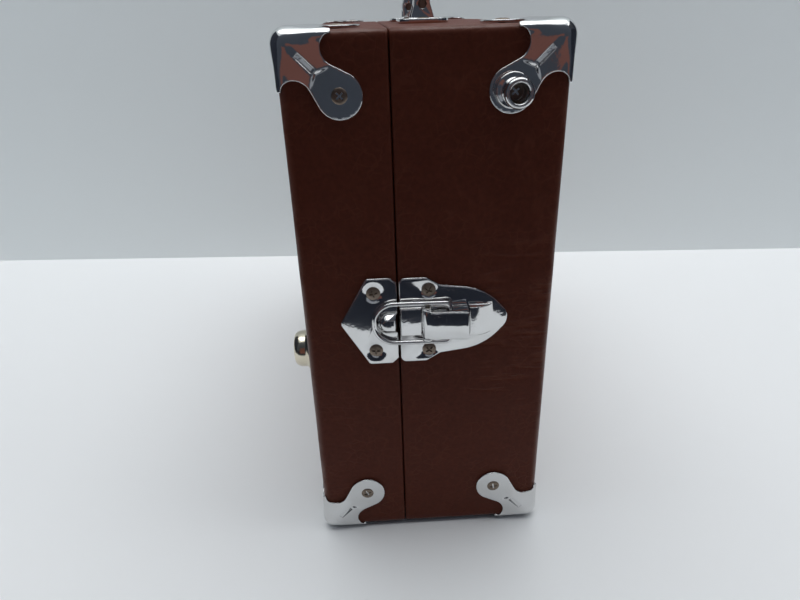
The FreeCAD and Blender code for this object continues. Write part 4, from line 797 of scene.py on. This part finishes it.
# Feet: plated pressings with a flange against the covering and a blunt face to stand on. Two are on
# the lid and four on the back, each held by a screw in its middle.
FOOT = [
    (0, 0), (10.2, 0), (10.2, 1.5), (9.9, 2.3), (9.2, 2.8), (8.7, 3.3), (8.6, 5.2), (8.4, 6.6),
    (7.8, 7.9), (6.9, 8.7), (5.8, 9.0), (4.8, 8.9), (4.1, 8.4), (3.8, 7.6), (3.8, 4.0), (0, 4.0),
]
NICKEL_BRIGHT = (0.80, 0.74, 0.61, 1)
NICKEL_DULL = (0.50, 0.44, 0.33, 1)
NICKEL_WAVE_H = 0.12 * MM

nickel, shader, place = begin_finish("nickel", Metallic=1.0)
dulled = place.noise(140, 4)
specks = place.noise(1100, 3)
paint(
    shader, Base_Color=(dulled * 0.8).mix(NICKEL_BRIGHT, NICKEL_DULL),
    Roughness=0.08 + dulled * 0.12 + specks * 0.04, Normal=dulled.bump(NICKEL_WAVE_H),
)
on_seat("lid_feet", FOOT, RIM_ROUNDING, nickel, "lid", "chrome", "lid_foot_set")
on_seat("rear_feet", FOOT, RIM_ROUNDING, nickel, "base", "chrome", "rear_foot_set")


# The carrying handle: a chromed steel bar bent to a bow. Each leg ends in an eye that turns on a pin
# between the two cheeks of a riveted bracket, screwed to the top of the base.
HANDLE_SLIM = 0.66
BRACKET_PLATE = 2.2 * MM
FLAT_ANGLE = 0.5


def slimmer(bm, above):
    """Draw the handle's bar and cheeks in across the case, towards their own middle."""
    middle = (min(v.co.x for v in bm.verts) + max(v.co.x for v in bm.verts)) / 2
    for v in bm.verts:
        if v.co.z > above:
            v.co.x = middle + HANDLE_SLIM * (v.co.x - middle)


def dressed(node, name, finish, body, slot, edge=0.2, crease=32, slim_above=None):
    """A copy of a solid whose sharp edges are broken, so that they catch the light."""
    bm = bmesh.new()
    bm.from_mesh(frame["nodes"][node].data)
    bmesh.ops.remove_doubles(bm, verts=bm.verts, dist=1e-6)
    bmesh.ops.dissolve_limit(
        bm, angle_limit=math.radians(FLAT_ANGLE), verts=bm.verts, edges=bm.edges, delimit={"NORMAL"}
    )
    sharp = []
    for e in bm.edges:
        if len(e.link_faces) == 2 and e.calc_face_angle(0) > math.radians(crease):
            sharp.append(e)
    if edge:
        round_edges(bm, sharp, edge * MM, 2)
    if slim_above is not None:
        slimmer(bm, slim_above)
    add_piece(name, bm, finish, body, slot, node, crease=crease)


dressed("handle_bow", "handle_grip", chrome, "handle", "chrome", edge=0.3, slim_above=0)
for end in ("near", "far"):
    plate_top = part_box(f"handle_bracket_{end}")[0][2] + BRACKET_PLATE
    dressed(
        f"handle_bracket_{end}", f"handle_foot_{end}", chrome, "base", "chrome", edge=0.35,
        slim_above=plate_top,
    )
wear_finish("handle_pins", aged_steel)


# Draw latches, one at each end: pressed and chromed plates, a lever with rolled sides on a pin, and a
# wire bail that pulls the lid's domed catch towards the base.
for end in ("near", "far"):
    dressed(f"catch_plate_{end}", f"latch_catch_{end}", chrome, "lid", "chrome", edge=0)
    dressed(f"latch_plate_{end}", f"latch_base_{end}", chrome, "base", "chrome", edge=0)
    dressed(f"latch_lever_{end}", f"latch_handle_{end}", chrome, f"{end}_lever", "chrome", edge=0.25)
    dressed(f"latch_bail_{end}", f"latch_wire_{end}", chrome, f"{end}_bail", "chrome", edge=0)
wear_finish("latch_pins", aged_steel)


# The locating lip: four thin strips of wood glued inside the base and painted black, that the rim of
# the lid slips over.
LIP_BLACK = (0.014, 0.013, 0.012, 1)
LIP_RUBBED = (0.16, 0.10, 0.06, 1)
BRUSH_H = 0.05 * MM

lip_paint, shader, place = begin_finish("lip paint", Specular_IOR_Level=0.35)
brushed = place.noise(300, 3, (1, 0.1, 1))
rubbed = place.noise(40, 5).step(0.6, 0.75)
paint(
    shader, Base_Color=(rubbed * 0.5).mix(LIP_BLACK, LIP_RUBBED),
    Roughness=0.42 + brushed * 0.2, Normal=brushed.bump(BRUSH_H),
)
dressed("locating_lip", "lip_strips", lip_paint, "base", "lip_paint", edge=0.5)


# The instrument panel: sheet steel with a crackle enamel, screwed to two wooden rails. Its scales are
# printed in cream: rings of strokes with numbers round the two controls.
PRINT_T = 0.04 * MM
PANEL_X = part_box("panel")[0][0]
SCALE_STROKES = 11
SCALE_START = 240
SCALE_SWEEP = 300
SCALE_R = (19.0, 22.0)
SCALE_STROKE_W = 1.6
SCALE_NUMBER_R = 25.0
RING_W = 0.5
NUMBER_H = 3.4
SOCKET_NUMBERS = {"socket_octal": "8", "socket_noval": "9", "socket_miniature": "7"}
SOCKET_RING_GAP = 2.2
SOCKET_NUMBER_DROP = 4
ENAMEL_DARK = (0.030, 0.034, 0.036, 1)
ENAMEL_GREY = (0.085, 0.092, 0.092, 1)
CRACKLE_H = 0.12 * MM
CREAM_DULL = (0.56, 0.52, 0.40, 1)
CREAM_FRESH = (0.70, 0.66, 0.54, 1)
PANEL_UP = Matrix(((0, 0, -1), (-1, 0, 0), (0, 1, 0)))


def write(bm, text, height, centre, turn=0.0):
    """Set generic numbers flat on the panel or the dial, around a point."""
    curve = bpy.data.curves.new("number", "FONT")
    curve.body = text
    curve.size = height * MM
    curve.align_x = "CENTER"
    curve.align_y = "CENTER"
    words = bpy.data.objects.new("number", curve)
    mesh = bpy.data.meshes.new_from_object(words)
    old = set(bm.verts)
    bm.from_mesh(mesh)
    fresh = [v for v in bm.verts if v not in old]
    bmesh.ops.rotate(bm, cent=(0, 0, 0), matrix=Matrix.Rotation(turn, 3, "Z"), verts=fresh)
    bmesh.ops.rotate(bm, cent=(0, 0, 0), matrix=PANEL_UP, verts=fresh)
    bmesh.ops.translate(bm, vec=centre, verts=fresh)
    bpy.data.objects.remove(words)
    bpy.data.curves.remove(curve)
    bpy.data.meshes.remove(mesh)


def band(bm, centre, inner, outer, start, sweep):
    """A printed arc on the panel or the dial. Angles start at the right and go round as seen."""
    ends = [bm.verts.new(Vector(centre) + panel_turn(start, r)) for r in (inner, outer)]
    run = bm.edges.new(ends)
    bmesh.ops.spin(
        bm, geom=ends + [run], cent=centre, axis=(-1, 0, 0), angle=math.radians(sweep),
        steps=max(1, round(abs(sweep) / 3)),
    )


def panel_turn(angle, radius):
    turn = math.radians(angle)
    return Vector((0, -math.cos(turn), math.sin(turn))) * radius * MM


def face_out(bm):
    """Printed marks are flat, and all face the one who reads the panel."""
    bmesh.ops.remove_doubles(bm, verts=bm.verts, dist=1e-7)
    bm.normal_update()
    bmesh.ops.reverse_faces(bm, faces=[f for f in bm.faces if f.normal.x > 0])


def front_of(node, depth):
    """The middle of a piece of the panel as it is read, at a depth along X."""
    low, high = map(Vector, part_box(node))
    return Vector((depth, (low.y + high.y) / 2, (low.z + high.z) / 2))


enamel, shader, place = begin_finish("panel enamel", Specular_IOR_Level=0.5)
crackle = place.node(
    "ShaderNodeTexVoronoi", {"feature": "DISTANCE_TO_EDGE"}, {"Vector": place, "Scale": 620},
    out="Distance",
)
veins = crackle.step(0.02, 0.16)
dust = place.noise(60, 4)
paint(
    shader, Base_Color=(veins * 0.6 + dust * 0.4).mix(ENAMEL_DARK, ENAMEL_GREY),
    Roughness=0.48 - veins * 0.14 + dust * 0.1, Normal=veins.bump(CRACKLE_H),
)
dressed("panel", "panel_plate", enamel, "base", "panel_enamel", edge=0.2)
print_cream, shader, place = begin_finish("cream print", Specular_IOR_Level=0.3)
fade = place.noise(260, 3)
paint(shader, Base_Color=fade.mix(CREAM_DULL, CREAM_FRESH), Roughness=0.5 + fade * 0.2)
bm = bmesh.new()
for node in ("heater_knob", "load_knob"):
    centre = front_of(node, PANEL_X - PRINT_T)
    for k in range(SCALE_STROKES):
        angle = SCALE_START - k * SCALE_SWEEP / (SCALE_STROKES - 1)
        band(bm, centre, *SCALE_R, angle - SCALE_STROKE_W / 2, SCALE_STROKE_W)
        write(bm, str(k), NUMBER_H, centre + panel_turn(angle, SCALE_NUMBER_R))
    band(bm, centre, SCALE_R[0] - RING_W, SCALE_R[0], SCALE_START - SCALE_SWEEP, SCALE_SWEEP)
for node, number in SOCKET_NUMBERS.items():
    low, high = map(Vector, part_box(node))
    centre = front_of(node, PANEL_X - PRINT_T)
    ring_r = (high.y - low.y) / 2 / MM + SOCKET_RING_GAP
    band(bm, centre, ring_r, ring_r + RING_W, 0, 360)
    write(bm, number, NUMBER_H, centre - Vector((0, 0, (ring_r + SOCKET_NUMBER_DROP) * MM)))
face_out(bm)
add_piece("panel_print", bm, print_cream, "base", "panel_enamel")


# The meter: a moulded black case let into the panel, a printed card, a needle on a pivot and a clear
# window snapped into the rim.
DIAL_START = 135
DIAL_SWEEP = 90
DIAL_STROKES = 21
DIAL_ARC = (37.6, 38.1)
DIAL_STROKE = (38.1, 41.4)
DIAL_HALF_STROKE = (38.1, 40.0)
DIAL_STROKE_W = 0.7
DIAL_NUMBER_R = 44.2
DIAL_NUMBER_H = 3.6
DIAL_BAND = (31.5, 34.5)
DIAL_ZONES = (
    ("zone_red", 135, -38, (0.42, 0.045, 0.03, 1)),
    ("zone_amber", 97, -9, (0.62, 0.36, 0.05, 1)),
    ("zone_green", 88, -43, (0.06, 0.24, 0.09, 1)),
)
ZONE_PAPER = (0.70, 0.65, 0.52, 1)
PHENOLIC_DARK = (0.010, 0.008, 0.007, 1)
PHENOLIC_BROWN = (0.030, 0.022, 0.018, 1)
PHENOLIC_H = 0.06 * MM
DIAL_AGED = (0.62, 0.55, 0.40, 1)
DIAL_PALE = (0.80, 0.75, 0.62, 1)
PAPER_H = 0.02 * MM
NEEDLE_DARK = (0.008, 0.008, 0.009, 1)
NEEDLE_GREY = (0.022, 0.021, 0.02, 1)

phenolic, shader, place = begin_finish("phenolic", Specular_IOR_Level=0.5)
flow = place.noise(34, 5, (1, 1, 2.5))
scuff = place.noise(500, 3)
paint(
    shader, Base_Color=(flow * 0.8 + scuff * 0.1).mix(PHENOLIC_DARK, PHENOLIC_BROWN),
    Roughness=0.20 + flow * 0.12 + scuff.step(0.55, 0.75) * 0.18,
    Normal=(flow + scuff * 0.08).bump(PHENOLIC_H),
)
dressed("meter_body", "meter_case", phenolic, "base", "bakelite", edge=0.4)
dial_card, shader, place = begin_finish("dial card", Specular_IOR_Level=0.25)
paper = place.noise(900, 3)
age = place.noise(24, 4)
paint(
    shader, Base_Color=(age * 0.8 + paper * 0.2).mix(DIAL_AGED, DIAL_PALE),
    Roughness=0.6 + paper * 0.2, Normal=paper.bump(PAPER_H),
)
wear_finish("meter_dial", dial_card)
needle_black, shader, place = begin_finish("needle black", Specular_IOR_Level=0.4)
speck = place.noise(1200, 2)
paint(shader, Base_Color=speck.mix(NEEDLE_DARK, NEEDLE_GREY), Roughness=0.35 + speck * 0.2)
dressed("meter_needle", "meter_pointer", needle_black, "needle", "needle_black", edge=0.08)
pointer = next(joint for joint in frame["joints"] if joint["name"] == "needle_swing")
pivot = Vector(pointer["pos_m"])
pivot.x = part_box("meter_dial")[0][0] - PRINT_T
bm = bmesh.new()
band(bm, pivot, *DIAL_ARC, DIAL_START - DIAL_SWEEP, DIAL_SWEEP)
for k in range(DIAL_STROKES):
    angle = DIAL_START - k * DIAL_SWEEP / (DIAL_STROKES - 1)
    stroke = DIAL_HALF_STROKE if k % 2 else DIAL_STROKE
    band(bm, pivot, *stroke, angle - DIAL_STROKE_W / 2, DIAL_STROKE_W)
    if k % 4 == 0:
        spot = pivot + panel_turn(angle, DIAL_NUMBER_R)
        write(bm, str(k * 5), DIAL_NUMBER_H, spot, math.radians(angle - 90))
face_out(bm)
add_piece("dial_print", bm, needle_black, "base", "needle_black")
for zone, start, sweep, colour in DIAL_ZONES:
    ink, shader, place = begin_finish(zone.replace("_", " "), Specular_IOR_Level=0.25)
    grain = place.noise(800, 2)
    paint(shader, Base_Color=(grain * 0.3).mix(colour, ZONE_PAPER), Roughness=0.55 + grain * 0.2)
    bm = bmesh.new()
    band(bm, pivot, *DIAL_BAND, start, sweep)
    face_out(bm)
    add_piece(f"dial_{zone}", bm, ink, "base", "dial_card")
glass, shader, place = begin_finish(
    "window glass", Base_Color=(0.97, 0.98, 0.97, 1), Transmission_Weight=1.0, IOR=1.47,
    Specular_IOR_Level=0.5,
)
smear = place.noise(50, 4)
paint(shader, Roughness=0.01 + smear * 0.03)
dressed("meter_window", "meter_glass", glass, "base", "window_glass", edge=0.3)


# Tube sockets: moulded rings let into the panel, with a bright spring contact deep in each pin hole.
# The octal one has a keyed hole for the tube's post.
CONTACT_WALL = 0.25
CONTACT_SINK = 0.5
CONTACT_DEPTH = 8.0
CONTACT_DULL = (0.62, 0.55, 0.40, 1)
CONTACT_BRIGHT = (0.78, 0.74, 0.64, 1)

contact_metal, shader, place = begin_finish("contact metal", Metallic=1.0)
film = place.noise(600, 3)
paint(shader, Base_Color=film.mix(CONTACT_DULL, CONTACT_BRIGHT), Roughness=0.2 + film * 0.2)
for node, ring_r, pin_r, places, blanks in (
    ("socket_octal", 8.7, 1.3, 8, 0),
    ("socket_noval", 5.95, 0.8, 10, 1),
    ("socket_miniature", 4.76, 0.8, 8, 1),
):
    dressed(node, node.replace("socket", "tube_base"), phenolic, "base", "bakelite", edge=0.12)
    centre = front_of(node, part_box(node)[0][0])
    bore_r = pin_r - CONTACT_WALL
    sleeve = bmesh.new()
    turned(sleeve, [
        (pin_r, -CONTACT_DEPTH), (pin_r, -CONTACT_SINK), (bore_r, -CONTACT_SINK),
        (bore_r, -CONTACT_DEPTH),
    ], 16)
    model = close_mesh("contact", sleeve)
    bm = bmesh.new()
    for k in range(places - blanks):
        angle = 360 / places * (k + (1 + blanks) / 2) - 90
        stamp(bm, model, centre + panel_turn(180 - angle, ring_r), Vector((-1, 0, 0)))
    add_piece(node.replace("socket", "contacts"), bm, contact_metal, "base", "bakelite", crease=50)


# The two controls: a plated can behind the panel, a steel shaft and a moulded knob with a fluted grip
# and a filled index line.
INDEX_W = 1.1
INDEX_SINK = (0.35, 0.8)
INDEX_RUN = (1.0, 11.5)
INDEX_ROUND = 0.1
CAN_DULL = (0.46, 0.45, 0.43, 1)
CAN_BRIGHT = (0.68, 0.67, 0.65, 1)
CAN_BRUSH_H = 0.02 * MM

switch_metal, shader, place = begin_finish("switch metal", Metallic=1.0)
dull = place.noise(240, 4)
brush = place.noise(900, 2, (1, 1, 0.08))
paint(
    shader, Base_Color=(dull * 0.7 + brush * 0.3).mix(CAN_DULL, CAN_BRIGHT),
    Roughness=0.26 + dull * 0.18, Normal=brush.bump(CAN_BRUSH_H),
)
for name in ("heater", "load"):
    dressed(f"{name}_control", f"{name}_can", switch_metal, "base", "switch_metal", edge=0.3)
    wear_finish(f"{name}_shaft", aged_steel)
    dressed(f"{name}_knob", f"{name}_grip", phenolic, f"{name}_dial", "bakelite", edge=0.15)
    front = front_of(f"{name}_knob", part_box(f"{name}_knob")[0][0])
    inner, outer = (
        front + Vector((sink, side * INDEX_W / 2, run)) * MM
        for sink, side, run in zip(INDEX_SINK, (-1, 1), INDEX_RUN)
    )
    bm = bmesh.new()
    box_between(bm, inner, outer)
    round_edges(bm, bm.edges[:], INDEX_ROUND * MM, 2)
    add_piece(f"{name}_index", bm, print_cream, f"{name}_dial", "bakelite")


# The test button: a red moulded cap that presses into a plated ring. Its switch sits behind the
# panel and is held by the ring's nut.
BUTTON_DARK = (0.30, 0.012, 0.010, 1)
BUTTON_BRIGHT = (0.46, 0.030, 0.022, 1)
MOULD_H = 0.05 * MM

button_red, shader, place = begin_finish("button red", Specular_IOR_Level=0.5)
mould = place.noise(120, 4)
paint(
    shader, Base_Color=mould.mix(BUTTON_DARK, BUTTON_BRIGHT), Roughness=0.18 + mould * 0.16,
    Normal=mould.bump(MOULD_H),
)
dressed("test_button", "button_cap", button_red, "button", "button_red", edge=0.3)
dressed("button_switch", "button_ring", switch_metal, "base", "switch_metal", edge=0.25)


# The mains toggle: a chromed, bat-shaped lever that rocks on a ball in a threaded bush. A hexagonal
# nut of plated steel holds the bush to the panel.
NUT_REACH = 7.6
NUT_T = 2.4
NUT_ROUND = 0.35
NUT_TURN = 0.3

dressed("toggle_switch", "toggle_bush", switch_metal, "base", "switch_metal", edge=0.25)
dressed("toggle_lever", "toggle_bat", chrome, "toggle", "screw_steel", edge=0.1)
bm = bmesh.new()
bmesh.ops.create_circle(bm, cap_ends=True, segments=6, radius=NUT_REACH * MM)
raised = bmesh.ops.extrude_face_region(bm, geom=bm.faces[:])["geom"]
bmesh.ops.translate(bm, vec=(0, 0, NUT_T * MM), verts=verts_in(raised))
bmesh.ops.recalc_face_normals(bm, faces=bm.faces)
round_edges(bm, bm.edges[:], NUT_ROUND * MM, 2)
model = close_mesh("nut", bm)
bm = bmesh.new()
stamp(bm, model, front_of("toggle_switch", PANEL_X), Vector((-1, 0, 0)), NUT_TURN)
add_piece("toggle_nut", bm, switch_metal, "base", "switch_metal")


# The pilot light: a jewel of pressed red glass that glows when the tester is on. It is pushed into a
# hole in the panel from the front.
JEWEL_DEEP = (0.50, 0.006, 0.008, 1)
JEWEL_CLEAR = (0.75, 0.03, 0.02, 1)

jewel, shader, place = begin_finish(
    "jewel glass", Transmission_Weight=0.55, IOR=1.5, Specular_IOR_Level=0.6
)
depth = place.noise(300, 3)
paint(shader, Base_Color=depth.mix(JEWEL_DEEP, JEWEL_CLEAR), Roughness=0.06 + depth * 0.08)
dressed("pilot_jewel", "pilot_lens", jewel, "base", "jewel_red", edge=0.2)


# The mains inlet: a moulded well of the same black plastic as the meter, with two pins in it for the
# socket of a lead. It is let into the panel.
dressed("mains_inlet", "inlet_well", phenolic, "base", "bakelite", edge=0.4)


# The power transformer, behind the panel: a stack of iron stampings held by a strap, with its winding
# wrapped in varnished paper.
IRON_GREY = (0.055, 0.052, 0.05, 1)
IRON_RUST = (0.16, 0.07, 0.035, 1)
SHEETS_PER_M = 2000
SHEET_H = 0.12 * MM
PAPER_DARK = (0.24, 0.12, 0.03, 1)
PAPER_PALE = (0.44, 0.27, 0.09, 1)
LAYERS_PER_M = 260
LAYER_H = 0.15 * MM

core_iron, shader, place = begin_finish("core iron", Specular_IOR_Level=0.4, Metallic=0.6)
sheets = place.math("FRACT", part_of(place, "X") * SHEETS_PER_M)
rust = place.noise(110, 5).step(0.5, 0.7)
paint(
    shader, Base_Color=(rust * 0.6).mix(IRON_GREY, IRON_RUST), Roughness=0.42 + rust * 0.25,
    Normal=(sheets.step(0.0, 0.2) * 0.6 + rust * 0.3).bump(SHEET_H),
)
dressed("transformer_core", "transformer_stack", core_iron, "base", "core_iron", edge=0.15)
coil_paper, shader, place = begin_finish("coil paper", Specular_IOR_Level=0.45)
layer = place.math("FRACT", part_of(place, "Z") * LAYERS_PER_M)
varnish = place.noise(45, 4)
paint(
    shader, Base_Color=varnish.mix(PAPER_DARK, PAPER_PALE), Roughness=0.3 + varnish * 0.3,
    Normal=(layer.step(0, 0.25) * 0.5 + varnish * 0.4).bump(LAYER_H),
)
dressed("transformer_coil", "transformer_winding", coil_paper, "base", "coil_paper", edge=0.3)
